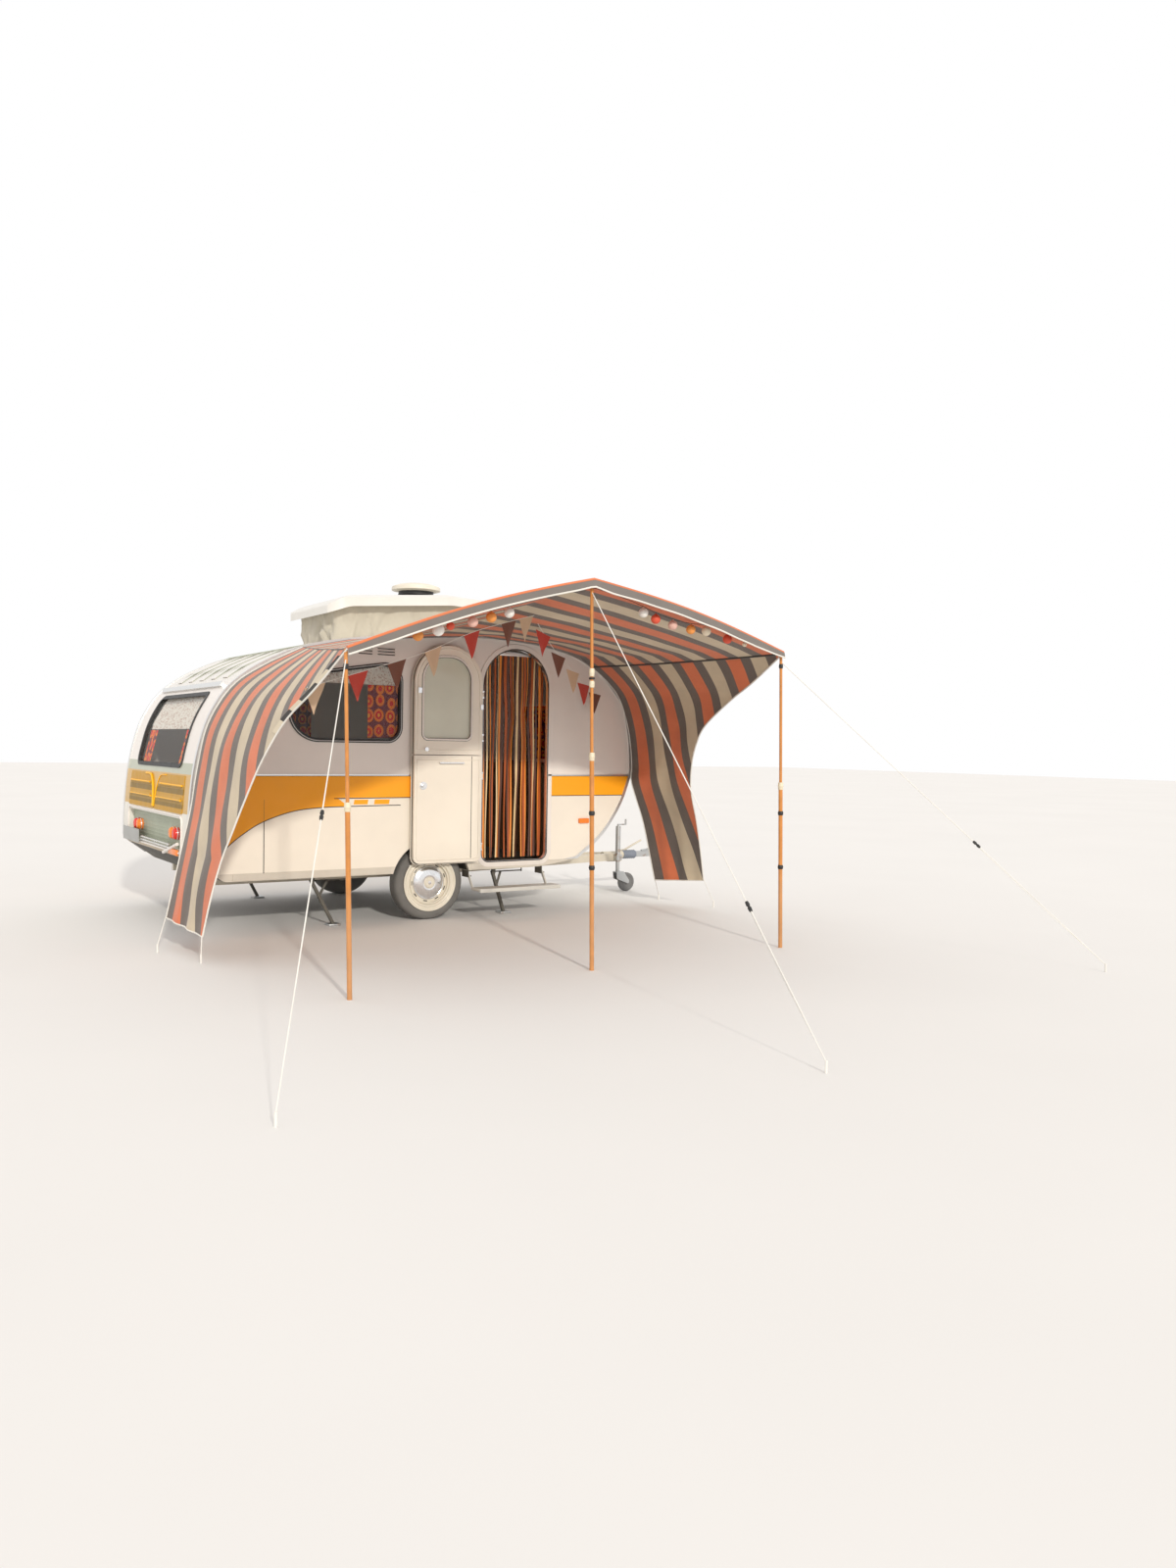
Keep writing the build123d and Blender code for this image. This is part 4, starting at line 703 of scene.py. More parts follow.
# Ball lights: share between the pole tips, radius, colour
BALLS = [
    (0.143, 0.031, "orange"), (0.185, 0.035, "white"), (0.209, 0.024, "red"), (0.254, 0.031, "pink"),
    (0.295, 0.031, "orange"), (0.334, 0.031, "white"), (0.642, 0.031, "white"), (0.674, 0.031, "red"),
    (0.719, 0.031, "pink"), (0.767, 0.031, "orange"), (0.809, 0.031, "cream"), (0.869, 0.031, "red"),
    (0.919, 0.016, "cream"),
]
BALL_STEPS = 14
for i, (share, radius, colour) in enumerate(BALLS):
    goal = along_tips(share)[0].x
    nearest = min(wire_run, key=lambda point: abs(point.x - goal))
    place = nearest + Vector((0, 0, -radius * 1.2 - LINE_THICK / 2))
    turns = [math.pi * k / BALL_STEPS for k in range(BALL_STEPS)]
    profile = [(radius * math.sin(a), -radius * math.cos(a)) for a in turns]
    profile += [(radius * 0.20, radius), (radius * 0.16, radius * 1.16), (0.0, radius * 1.2)]
    turned(f"ball_light_{i}", profile, place, (0, 0, 0), ball_colours[colour], steps=24)

# Finishes of the pieces that come straight from the model

dress(["side_wall_near", "side_wall_far", "front_wall"], wall_paint)
dress(["roof_panel"], roof_paint)
dress(["door_window_ring"], white_paint)
dress(["rear_wall_lower", "rear_wall_upper"], rear_paint)
dress(["door_upper_leaf", "door_lower_leaf"], cream_paint)
# Pressed fields: the band's yellow painted darker as in shade, with painted shadow bands under each raised
# line and a half-shaded band on each rib.
FIELD_YELLOW_IN_SHADE, FIELD_SHADE, FIELD_RIB_HALF_SHADE = (0.56, 0.30, 0.018), (0.25, 0.15, 0.012), (0.40, 0.24, 0.03)
field_shaded_zones = layered(
    "pressed_field_painted_shade", "yellow_paint",
    [
        (0.0, FIELD_YELLOW_IN_SHADE), (0.872, FIELD_SHADE), (0.908, FIELD_RIB_HALF_SHADE), (0.928, FIELD_YELLOW_IN_SHADE),
        (0.968, FIELD_SHADE), (1.010, FIELD_RIB_HALF_SHADE), (1.030, FIELD_YELLOW_IN_SHADE),
    ],
    0.48, 0.05,
)
dress(["rear_pressed_fields"], field_shaded_zones)
dress(["floor_panel", "wheel_boxes", "axle_beam", "underfloor_brackets"], dark_paint)
dress(["folding_step"], grey_paint)
dress(["chassis_frame", "overrun_housing"], chassis_paint)
dress(["bench_bases", "front_cabinet"], cabinet_wood)
dress(["awning_rails", "rear_bars"], trim_metal)
dress(["door_frame", "door_upper_fittings", "door_lower_fittings"], chrome)
dress(["window_seals"], seal_rubber)
dress(["window_panes"], clear_pane)
dress(["door_window_pane"], frosted_pane)
dress(["number_plate"], plate_grey)
dress(["side_markers"], lens_orange)
dress(["jockey_tube", "jockey_stem", "jockey_fork", "coupling_head"], steel)
dress(["jockey_wheel"], jockey_rubber)
dress(["coupling_gaiter"], gaiter_rubber)
dress(["pop_top_lid"], lid_gloss)
dress(["roof_vent"], vent_plastic)
dress(["awning_poles"], pole_paint)
dress(["awning_guys"], white_cord)
for end in ("front", "rear"):
    for _, side_name in SIDES:
        dress([f"steady_leg_{end}_{side_name}", f"steady_brace_{end}_{side_name}"], dark_paint)

# Yellow band, sweep, dashes and trim lines on both sides

SWEEP = [
    (-1.69, 0.478), (-1.645, 0.545), (-1.59, 0.61), (-1.487, 0.696), (-1.334, 0.789), (-1.109, 0.863),
    (-0.884, 0.888), (-0.71, 0.892),
]
sweep_edge = [(p.x, p.z) for p in curve_through([(x, 0, z) for x, z in SWEEP], 5)]
REAR_EDGE = [(-1.806, 1.118), (-1.820, 1.02), (-1.832, 0.86), (-1.836, 0.62), (-1.815, 0.565), (-1.76, 0.508)]
# Lower and upper edge of the band, its ends beside the doorway and its slanting end at the front
BAND_LOW, BAND_HIGH = 0.958, 1.118
BAND_DOOR_REAR, BAND_DOOR_FRONT = 0.428, 1.036
BAND_NOSE = [(1.806, BAND_LOW), (1.852, BAND_HIGH)]
DASHES = ((-0.649, 0.111), (-0.486, 0.121))
DASH_LOW, DASH_HIGH, DASH_LEAN = 0.906, 0.942, 0.006
TRIM_REAR, TRIM_FRONT, TRIM_Z = -1.806, 1.855, 1.126
SEAM_X, SILL_Z, SILL_WIDE = -1.322, 0.401, 0.046


def both(side, depth):
    """Plane of the wall and thickness outwards of something fixed on it."""
    return side * WALL_Y, side * depth


for side, side_name in SIDES:
    near = side < 0
    y, thick = both(side, 0.0012)
    outline = REAR_EDGE + sweep_edge + [(-0.70, 0.90), (-0.775, 0.957)]
    if near:
        front = [(BAND_DOOR_FRONT, BAND_LOW), *BAND_NOSE, (BAND_DOOR_FRONT, BAND_HIGH)]
        sheet_metal(f"band_front_{side_name}", front, y, thick, yellow_paint)
        outline += [(BAND_DOOR_REAR, BAND_LOW), (BAND_DOOR_REAR, BAND_HIGH)]
    else:
        outline += BAND_NOSE
    sheet_metal(f"band_sweep_{side_name}", outline, y, thick, yellow_paint)
    for i, (x, length) in enumerate(DASHES):
        end = x + length
        dash = [(x, DASH_LOW), (end, DASH_LOW), (end + DASH_LEAN, DASH_HIGH), (x + DASH_LEAN, DASH_HIGH)]
        sheet_metal(f"band_dash_{side_name}_{i}", dash, y, thick, yellow_paint)
    y, thick = both(side, 0.002)
    lower = sweep_edge + [(-0.60, 0.894), (-0.27, 0.897)]
    notch = [(-0.80, 0.952), (-0.70, 0.953), (BAND_DOOR_REAR if near else 1.80, 0.955)]
    ribbon(f"line_sweep_{side_name}", lower, 0.006, y, thick, dark_paint)
    ribbon(f"line_notch_{side_name}", notch, 0.006, y, thick, dark_paint)
    y, thick = both(side, 0.006)
    runs = [(TRIM_REAR, TRIM_FRONT)]
    if near:
        runs = [(TRIM_REAR, BAND_DOOR_REAR), (BAND_DOOR_FRONT, TRIM_FRONT)]
    for i, (x0, x1) in enumerate(runs):
        ribbon(f"waist_trim_{side_name}_{i}", [(x0, TRIM_Z), (x1, TRIM_Z)], 0.012, y, thick, trim_metal)
        low_edge = [(x0, TRIM_Z - 0.0075), (x1, TRIM_Z - 0.0075)]
        ribbon(f"waist_line_{side_name}_{i}", low_edge, 0.005, y, thick * 0.5, dark_paint)
    if near:
        low_line = [(BAND_DOOR_FRONT, 0.956), (1.806, 0.956)]
        ribbon("line_front_low", low_line, 0.006, *both(side, 0.002), dark_paint)
    y, thick = both(side, 0.0022)
    ribbon(f"panel_seam_{side_name}", [(SEAM_X, 0.38), (SEAM_X, 0.795)], 0.0055, y, thick, seal_rubber)
    ribbon(f"panel_seam_high_{side_name}", [(SEAM_X, 0.80), (SEAM_X, 0.95)], 0.0022, y, thick, field_dark)
    y, thick = both(side, 0.004)
    for i, (x0, x1) in enumerate(((-1.54, -0.345), (0.345, 0.98))):
        ribbon(f"sill_trim_{side_name}_{i}", [(x0, SILL_Z), (x1, SILL_Z)], SILL_WIDE, y, thick, sill_paint)

# Doorway moulding, leaf beads and edge rubbers

DOOR_X0, DOOR_X1, DOOR_Z0, ARCH_Z, ARCH_R = 0.435, 1.03, 0.44, 1.8335, 0.2965
DOOR_MIDDLE, FOOT_R, HINGE_X = 0.7325, 0.06, 0.418


def arch(grow, steps=18):
    """Doorway outline as x and z, from the lower front corner up and round by the top."""
    x0, x1, z0 = DOOR_X0 - grow, DOOR_X1 + grow, DOOR_Z0 - grow
    radius, low = ARCH_R + grow, FOOT_R + grow
    points = []
    for k in range(7):
        a = math.pi * 1.5 + math.pi / 2 * k / 6
        points.append((x1 - low + low * math.cos(a), z0 + low + low * math.sin(a)))
    for k in range(steps + 1):
        a = math.pi * k / steps
        points.append((DOOR_MIDDLE + radius * math.cos(a), ARCH_Z + radius * math.sin(a)))
    for k in range(7):
        a = math.pi + math.pi / 2 * k / 6
        points.append((x0 + low + low * math.cos(a), z0 + low + low * math.sin(a)))
    return points


tube("doorway_rubber", [(x, -WALL_Y, z) for x, z in arch(0.0055)], 0.0044, seal_rubber, closed=True)
raised = arch(0.027)
ribbon("doorway_moulding", raised + raised[:1], 0.034, -WALL_Y, -0.006, white_paint, closed=True)
tube("doorway_moulding_edge", [(x, -WALL_Y, z) for x, z in arch(0.044)], 0.005, white_paint, closed=True)

# Edge rubber and raised bead of each leaf: how far out from the doorway, radius, and place along y
LEAF_RUBBER, RUBBER_R, RUBBER_Y = -0.0072, 0.0042, -1.0105
LEAF_BEAD, BEAD_R, BEAD_Y = -0.032, 0.0045, -1.0405
SPLIT_Z, SPLIT_GAP, BEAD_GAP = 1.281, 0.008, 0.030


def opened(x):
    """x of a place on the shut door once it stands open."""
    return 2 * HINGE_X - x


def leaf_run(way, grow, edge):
    """Line round a leaf, closed off at height edge; way is 1 above the split and -1 below it."""
    kept = [(x, z) for x, z in arch(grow, 40) if (z - SPLIT_Z) * way > 0]
    if way < 0:
        kept.sort(key=lambda point: point[0] > DOOR_MIDDLE)
    first, last = [(DOOR_X1 + grow, edge), (DOOR_X0 - grow, edge)][::way]
    return [first] + kept + [last]


for name, body, way in (("upper", "door_upper", 1), ("lower", "door_lower", -1)):
    edge = SPLIT_Z + way * SPLIT_GAP
    run = [(opened(x), RUBBER_Y, z) for x, z in leaf_run(way, LEAF_RUBBER, edge)]
    bead = [(opened(x), BEAD_Y, z) for x, z in leaf_run(way, LEAF_BEAD, edge + way * BEAD_GAP)]
    tube(f"leaf_{name}_rubber", run, RUBBER_R, seal_rubber, body)
    tube(f"leaf_{name}_bead", bead, BEAD_R, cream_paint, body, closed=True)
PANE_X0, PANE_X1 = -0.127, 0.304
bar("leaf_seam", (0.3025, -1.0425, 0.47), (0.3075, -1.0405, 1.272), seal_rubber, "door_lower", 0.0008)
band_low, band_high = (-0.192, -1.0046, BAND_LOW), (0.398, -1.0036, BAND_HIGH)
bar("door_band", band_low, band_high, yellow_paint, "door_lower", 0.0003)

# Painted shade: grey-green lines beside the ribs of the roof's white rear slope

REAR_SLOPE = [(-0.862, 2.101), (-1.08, 2.052), (-1.40, 1.895), (-1.49, 1.823)]
RIB_STEP, RIB_HALF = 0.310, 0.060
rib_shade_paint = moulded("roof_groove_green_grey", "white_paint", (0.38, 0.41, 0.34), 0.5, 60)
for i in range(5):
    middle = (i - 2) * RIB_STEP
    for j, offset in enumerate((-RIB_HALF, RIB_HALF)):
        run = [(x, middle + offset, z + 0.0005) for x, z in REAR_SLOPE]
        tube(f"roof_groove_{i}_{j}", run, 0.0045, rib_shade_paint)

# Window frames: bright insert line in the black rubber

SIDE_WINDOW = [(-1.144, 1.378, 0.22), (-0.276, 1.378, 0.11), (-0.276, 1.980, 0.13), (-1.144, 1.839, 0.16)]


def rounded(corners, grow=0.0, steps=8):
    """Outline with round corners; corners run counter-clockwise as x, z and radius."""
    count = len(corners)
    made = []
    for i, (x, z, radius) in enumerate(corners):
        here = Vector((x, z))
        to_before = (Vector(corners[i - 1][:2]) - here).normalized()
        to_after = (Vector(corners[(i + 1) % count][:2]) - here).normalized()
        half = to_before.angle(to_after) / 2
        centre = here + (to_before + to_after).normalized() * (radius / math.sin(half))
        reach = radius + grow
        first = (here + to_before * radius / math.tan(half) - centre).normalized() * reach
        last = (here + to_after * radius / math.tan(half) - centre).normalized() * reach
        sweep = first.angle_signed(last)
        for k in range(steps + 1):
            a = -sweep * k / steps
            across = first.x * math.cos(a) - first.y * math.sin(a)
            upward = first.x * math.sin(a) + first.y * math.cos(a)
            made.append(tuple(centre + Vector((across, upward))))
    return made


PANE_RING = [
    (PANE_X0, 1.393, 0.055), (PANE_X1, 1.393, 0.055), (PANE_X1, 2.046, 0.190), (PANE_X0, 2.046, 0.190),
]
for name, grow in (("outer", 0.001), ("inner", -0.015)):
    ring = [(x, -1.0412, z) for x, z in rounded(PANE_RING, grow)]
    tube(f"door_window_line_{name}", ring, 0.0024, seal_rubber, "door_upper", closed=True)

for side, side_name in SIDES:
    ring = [(x, side * (WALL_Y + 0.0068), z) for x, z in rounded(SIDE_WINDOW, 0.002)]
    tube(f"window_insert_{side_name}", ring, 0.0028, trim_metal, closed=True)

# Louvres of the side vents

VENTS = ((-0.622, -0.511), (-0.470, -0.329))
VENT_Z, LOUVRE_STEP = 2.024, 0.022
for side, side_name in SIDES:
    y0 = side * WALL_Y
    for x0, x1 in VENTS:
        for row in range(3):
            z = VENT_Z + row * LOUVRE_STEP
            place = f"{side_name}_{row}_{int(-x0 * 1000)}"
            low, high = (x0 - 0.004, y0, z + 0.008), (x1 + 0.004, y0 + side * 0.005, z + 0.012)
            bar(f"vent_lip_{place}", low, high, white_paint, round_off=0.0018)
            # Dark bars behind the lips: painted shade in the gaps between the louvres.
            low, high = (x0, y0 - side * 0.004, z), (x1, y0 - side * 0.008, z + 0.008)
            bar(f"vent_gap_painted_shade_{place}", low, high, seal_rubber, round_off=0.0005)

# Rear: lamp lenses, tray ribs, recess frame

LAMP_Y, LAMP_SPREAD, LAMP_X, LAMP_Z = 0.545, 0.047, -1.81, 0.694
LENS = [
    (0.0451, 0.0), (0.0451, 0.019), (0.042, 0.021), (0.041, 0.030), (0.037, 0.038), (0.030, 0.0435),
    (0.020, 0.0458), (0.018, 0.0448), (0.010, 0.0455), (0.0, 0.0458),
]
LENS_RING = [(0.0445, 0.001), (0.0452, 0.014), (0.0452, 0.0182), (0.0428, 0.0212), (0.0425, 0.016)]
for side, side_name in SIDES:
    for way, lens, kind in ((-side, lens_orange, "orange"), (side, lens_red, "red")):
        place, turn = (LAMP_X, side * LAMP_Y + LAMP_SPREAD * way, LAMP_Z), (0, -math.pi / 2, 0)
        turned(f"lamp_{kind}_{side_name}", LENS, place, turn, lens, steps=40)
        turned(f"lamp_ring_{kind}_{side_name}", LENS_RING, place, turn, chrome, steps=40)
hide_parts("rear_lamps")
# Tray ribs and floor carry the recess's painted shade and painted green reflection over pale paint.
TRAY_Z, TRAY_STEP, TRAY_RIB = 0.604, 0.026, 0.010
for row in range(8):
    z = TRAY_Z + row * TRAY_STEP
    bar(f"tray_rib_painted_shade_{row}", (-1.8135, -0.78, z), (-1.8095, 0.78, z + TRAY_RIB), tray_shade_paint, round_off=0.0018)
bar("tray_floor_painted_shade", (-1.8115, -0.785, 0.587), (-1.8098, 0.785, 0.807), tray_shade_paint, round_off=0.0005)

# Outer face of the lower rear wall: height and x
REAR_FACE = [(0.56, -1.850), (0.85, -1.845), (1.18, -1.815)]


def rear_face(z, proud):
    """x of a place that stands proud of the lower rear wall at a height."""
    return between(REAR_FACE, z) - proud


tray_corners = [(-0.806, 0.566, 0.056), (0.806, 0.566, 0.056), (0.806, 0.828, 0.056), (-0.806, 0.828, 0.056)]
tray_edge = [(rear_face(z, 0.001), y, z) for y, z in rounded(tray_corners)]
tube("tray_frame", tray_edge, 0.0075, white_paint, closed=True)
FIELD_EDGE = [
    (0.016, 0.862), (0.021, 0.900), (0.038, 0.965), (0.068, 1.028), (0.108, 1.074), (0.160, 1.102),
    (0.30, 1.106),
]
# Raised lines of the pressed fields, bright yellow as a painted highlight: height, and where they start
# beside the middle
FIELD_LINES = ((0.935, 0.075), (1.040, 0.150))
# The crescent along each field's inner edge and the raised lines carry the painted highlight; the far
# crescent is thicker.
for side, side_name in SIDES:
    edge = curve_through([(rear_face(z, 0.0065), side * y, z) for y, z in FIELD_EDGE], 5)
    tube(f"field_crescent_highlight_{side_name}", edge, 0.008 if side > 0 else 0.0045, field_painted_highlight)
    for z, inner in FIELD_LINES:
        ends = [(rear_face(z, 0.009), side * y, z) for y in (inner, 0.45, 0.765)]
        tube(f"field_highlight_line_{side_name}_{int(z * 1000)}", ends, 0.0065, field_painted_highlight)
SLANT_BAR = [(-1.858, -0.354, 0.542), (-1.858, -0.54, 0.585), (-1.858, -0.734, 0.630)]
tube("rear_slant_bar", SLANT_BAR, 0.012, white_paint)
bar("rear_reflector", (-1.862, -0.735, 0.545), (-1.850, -0.500, 0.588), lens_orange, round_off=0.004)

# Road wheels

TYRE = [
    (0.168, -0.056), (0.168, 0.056), (0.178, 0.0600), (0.200, 0.0625), (0.214, 0.0650),
    (0.2235, 0.0690), (0.229, 0.0730), (0.240, 0.0742), (0.262, 0.070), (0.275, 0.0625),
    (0.2815, 0.055), (0.2835, 0.049), (0.2870, 0.044), (0.2873, 0.034), (0.2820, 0.033),
    (0.2820, 0.028), (0.2873, 0.027), (0.2874, 0.010), (0.2820, 0.009), (0.2820, 0.003),
    (0.2874, 0.002), (0.2874, -0.002), (0.2820, -0.003), (0.2820, -0.009), (0.2874, -0.010),
    (0.2873, -0.027), (0.2820, -0.028), (0.2820, -0.033), (0.2873, -0.034), (0.2870, -0.044),
    (0.2835, -0.049), (0.275, -0.0625), (0.262, -0.070), (0.240, -0.0740), (0.2, -0.0742),
    (0.178, -0.068),
]
WHEEL_FACE = [
    (0.1580, -0.055), (0.1655, -0.057), (0.1657, 0.0), (0.1657, 0.060), (0.2180, 0.0655),
    (0.2215, 0.0720), (0.2205, 0.0765), (0.2160, 0.0785), (0.2110, 0.0780), (0.2060, 0.0745),
    (0.2030, 0.0700), (0.1980, 0.0672), (0.1930, 0.0680), (0.1900, 0.0720), (0.1860, 0.0745),
    (0.1800, 0.0745), (0.1750, 0.0715), (0.1715, 0.0640), (0.1690, 0.0540), (0.1640, 0.0462),
    (0.1580, 0.0435), (0.1540, 0.0450), (0.1330, 0.0450), (0.1300, 0.0400), (0.1090, 0.0340),
    (0.1040, 0.0200), (0.0900, 0.0146), (0.0195, 0.0142),
]
HUBCAP = [
    (0.1290, 0.0440), (0.1302, 0.0465), (0.1288, 0.0495), (0.1245, 0.0510), (0.1205, 0.0492),
    (0.1160, 0.0510), (0.1050, 0.0572), (0.0900, 0.0620), (0.0750, 0.0646), (0.0600, 0.0658),
    (0.0480, 0.0662), (0.0450, 0.0645), (0.0425, 0.0645), (0.0400, 0.0672), (0.0340, 0.0692),
    (0.0310, 0.0682), (0.0280, 0.0702), (0.0200, 0.0728), (0.0100, 0.0740), (0.0, 0.0742),
]
# How far the face stands out from the rim of the model, and the hubcap from the face
FACE_OUT, CAP_OUT = 0.0012, 0.0004
SLOTS, SLOT_RADIUS, SLOT_OUT = 9, 0.1435, 0.0465
SLOT_LOW, SLOT_HIGH = (-0.0042, -0.0006, -0.0165), (0.0042, 0.0006, 0.0165)
for side, side_name in SIDES:
    body = f"wheel_{side_name}"
    centre = (0, side * WHEEL_Y, AXLE_Z)
    turn = (-side * math.pi / 2, 0, 0)
    tyre = turned(f"road_tyre_{side_name}", TYRE, centre, turn, tyre_rubber, body, 96, closed=True)
    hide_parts(f"tyre_{side_name}")
    dress([f"wheel_rim_{side_name}"], rim_paint)
    face = [(r, h + FACE_OUT) for r, h in WHEEL_FACE]
    cap = [(r + CAP_OUT, h + CAP_OUT) for r, h in HUBCAP]
    turned(f"wheel_face_{side_name}", face, centre, turn, rim_paint, body, 96)
    turned(f"hubcap_{side_name}", cap, centre, turn, chrome, body, 96)
    for i in range(SLOTS):
        a = math.tau * (i + 0.5) / SLOTS
        x, z = SLOT_RADIUS * math.cos(a), SLOT_RADIUS * math.sin(a)
        # Black plate in each slot: painted shade in place of the dark behind the opening.
        slot_shade_plate = bar(f"rim_slot_{side_name}_{i}", SLOT_LOW, SLOT_HIGH, seal_rubber, body, 0.004)
        place = (x, side * (WHEEL_Y + SLOT_OUT), AXLE_Z + z)
        slot_shade_plate.data.transform(Matrix.Translation(place) @ Matrix.Rotation(-a, 4, "Y"))

# Roof vent rings

VENT_CAP = [
    (0.150, 0.030), (0.2045, 0.0405), (0.2048, 0.052), (0.2040, 0.066), (0.196, 0.074),
    (0.190, 0.0725), (0.184, 0.0775), (0.150, 0.0895), (0.110, 0.0965), (0.104, 0.0945),
    (0.098, 0.0985), (0.050, 0.1030), (0.0, 0.1037),
]
VENT_NECK = [
    (0.1505, 0.0005), (0.1505, 0.012), (0.147, 0.016), (0.147, 0.030), (0.1505, 0.034), (0.1505, 0.046),
]
VENT_X, VENT_TALL = 0.300, 0.1038
vent_foot = (VENT_X, 0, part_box("roof_vent")[1][2] - VENT_TALL)
turned("vent_cap", VENT_CAP, vent_foot, (0, 0, 0), vent_plastic, "pop_top", 72)
turned("vent_neck", VENT_NECK, vent_foot, (0, 0, 0), seal_rubber, "pop_top", 72)
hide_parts("roof_vent")

# Bellows of the raised roof

ROOF_LINE = [(-1.08, 2.052), (-0.7, 2.137), (0.4, 2.230), (0.9, 2.205), (1.32, 2.125), (1.6, 1.960)]
LID_LIFT = 0.275


def roof_z(x):
    """Height of the roof's middle line at x."""
    return between(ROOF_LINE, x)


def lid_low(x):
    """Height of the raised lid's lower edge."""
    tail = 0.045 * max(0.0, -0.49 - x) / 0.16
    nose = 0.030 * max(0.0, x - 0.9) / 0.22
    return roof_z(x) + LID_LIFT - tail - nose


hatch_corners = [(-0.600, -0.420, 0.11), (0.960, -0.420, 0.11), (0.960, 0.420, 0.11), (-0.600, 0.420, 0.11)]
hatch_ring = rounded(hatch_corners, -0.004, 6)


def along_ring(ring, share):
    """Point and outward normal at a share of the ring's length."""
    lengths = [(Vector(ring[i]) - Vector(ring[i - 1])).length for i in range(len(ring))]
    total = sum(lengths)
    goal = share % 1.0 * total
    for i, length in enumerate(lengths):
        if goal <= length or i == len(lengths) - 1:
            a, b = Vector(ring[i - 1]), Vector(ring[i])
            t = goal / max(length, 1e-9)
            side_way = (b - a).normalized() if length > 1e-6 else Vector((1, 0))
            return a + (b - a) * t, Vector((side_way.y, -side_way.x)), total
        goal -= length


# Slack cloth: leaning folds, each with a place along the skirt, a lean, a width and a depth
random.seed(11)
hatch_length = along_ring(hatch_ring, 0)[2]
FOLD_COUNT = 90
FOLDS = [
    (
        random.uniform(0, hatch_length), random.uniform(-0.28, 0.28),
        random.uniform(0.010, 0.04), random.uniform(-0.020, 0.024),
    )
    for _ in range(FOLD_COUNT)
]
# Foot of the skirt on the roof, and how far its top goes up inside the lid
SKIRT_FOOT, SKIRT_TUCK = 2.082, 0.034


def bellows_point(s, t):
    """Point of the skirt: s round the hatch, t from the roof up to the lid."""
    place, out, total = along_ring(hatch_ring, s)
    high = lid_low(place.x) + SKIRT_TUCK
    belly = math.sin(math.pi * min(1.0, t * 1.02))
    calm = 0.35 if place.y < -0.35 and place.x > -0.05 else 1.0
    along = s * total
    folds = 0.0
    for start, lean, width, depth in FOLDS:
        gap = (along - start - lean * t + total / 2) % total - total / 2
        if abs(gap) < width * 2.5:
            folds += depth * math.exp(-((gap / width) ** 2))
    pleat = 0.010 * math.sin(t * 8.5 + math.sin(along * 2.1) * 1.4) * belly
    slack = 0.022 * belly + calm * (folds + pleat) * belly**0.6
    place = place - out * slack
    z = SKIRT_FOOT + (high - SKIRT_FOOT) * t + 0.006 * math.sin(along * 18) * belly * calm
    return (place.x, place.y, z), (along, t * (high - SKIRT_FOOT))


bellows = cloth_grid("bellows_skirt", bellows_point, 400, 24, bellows_cloth, thick=0.0014)
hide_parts("pop_top_bellows")
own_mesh(bellows)

# Awning: canopy, wings, valance, piping
# The canopy's edge along the rail: share of its length, and x
CANOPY_RAIL = [(0.0, -1.05), (0.5, -0.07), (1.0, 1.45)]


def canopy_frame(s, t):
    """Point of the taut canopy: s from rear to front, t from the rail to the front edge."""
    tip, k = along_tips(s)
    x = between(CANOPY_RAIL, s)
    rail = Vector((x, RAIL_Y, roof_z(x) - 0.009))
    point = rail.lerp(tip + Vector((0, -EDGE_OUT, 0)), t)
    return point, k


def canopy_point(s, t):
    """Point of the canopy with its sag and its bowed front edge."""
    point, k = canopy_frame(s, t)
    wave = math.sin(math.pi * k)
    bow = 0.040 * wave * t**2
    sag = (0.034 * wave + 0.010) * math.sin(math.pi * t)
    point.z += bow - sag - 0.004
    return tuple(point), (t * 2.33, s * 3.0)


canopy = cloth_grid("awning_canopy_cloth", canopy_point, 96, 64, canopy_cloth)
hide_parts("awning_canopy")
hem = [Vector(canopy_point(k / 96, 1)[0]) + Vector((0, 0.002, 0.004)) for k in range(97)]
rolled_hem = tube("canopy_rolled_hem", hem, 0.012, valance_orange)

REAR_WING = [
    ((-1.06, RAIL_Y, 2.044), (-1.665, -3.31, 1.850)),
    ((-1.34, RAIL_Y, 1.900), (-1.729, -3.020, 1.644)),
    ((-1.56, RAIL_Y, 1.740), (-1.775, -2.700, 1.475)),
    ((-1.72, RAIL_Y, 1.480), (-1.834, -2.490, 1.251)),
    ((-1.79, RAIL_Y, 1.180), (-1.872, -2.310, 1.022)),
    ((-1.832, -0.985, 0.893), (-1.911, -2.180, 0.810)),
    ((-1.914, -1.083, 0.643), (-1.949, -2.090, 0.630)),
    ((-1.990, -1.190, 0.430), (-1.990, -2.026, 0.402)),
    ((-2.075, -1.318, 0.202), (-2.017, -1.951, 0.164)),
]
FRONT_WING = [
    ((1.475, RAIL_Y, 2.030), (1.560, -3.19, 2.012)),
    ((1.640, RAIL_Y, 1.900), (1.640, -2.80, 1.845)),
    ((1.752, RAIL_Y, 1.760), (1.700, -2.50, 1.735)),
    ((1.830, RAIL_Y, 1.560), (1.765, -2.12, 1.547)),
    ((1.868, RAIL_Y, 1.380), (1.795, -1.98, 1.410)),
    ((1.886, RAIL_Y, 1.200), (1.846, -1.86, 1.246)),
    ((1.886, RAIL_Y, 1.060), (1.938, -1.74, 1.029)),
    ((2.040, -0.950, 0.740), (2.100, -1.62, 0.760)),
    ((2.120, -0.950, 0.450), (2.230, -1.52, 0.500)),
    ((2.184, -0.950, 0.202), (2.344, -1.43, 0.240)),
]

# Spacing of the rear wing's stripes down its length, as shares of the canopy's
REAR_SPREAD = [(0.0, 1.0), (0.40, 0.88), (0.75, 0.74), (1.0, 1.0)]
PIPING_R = 0.0055


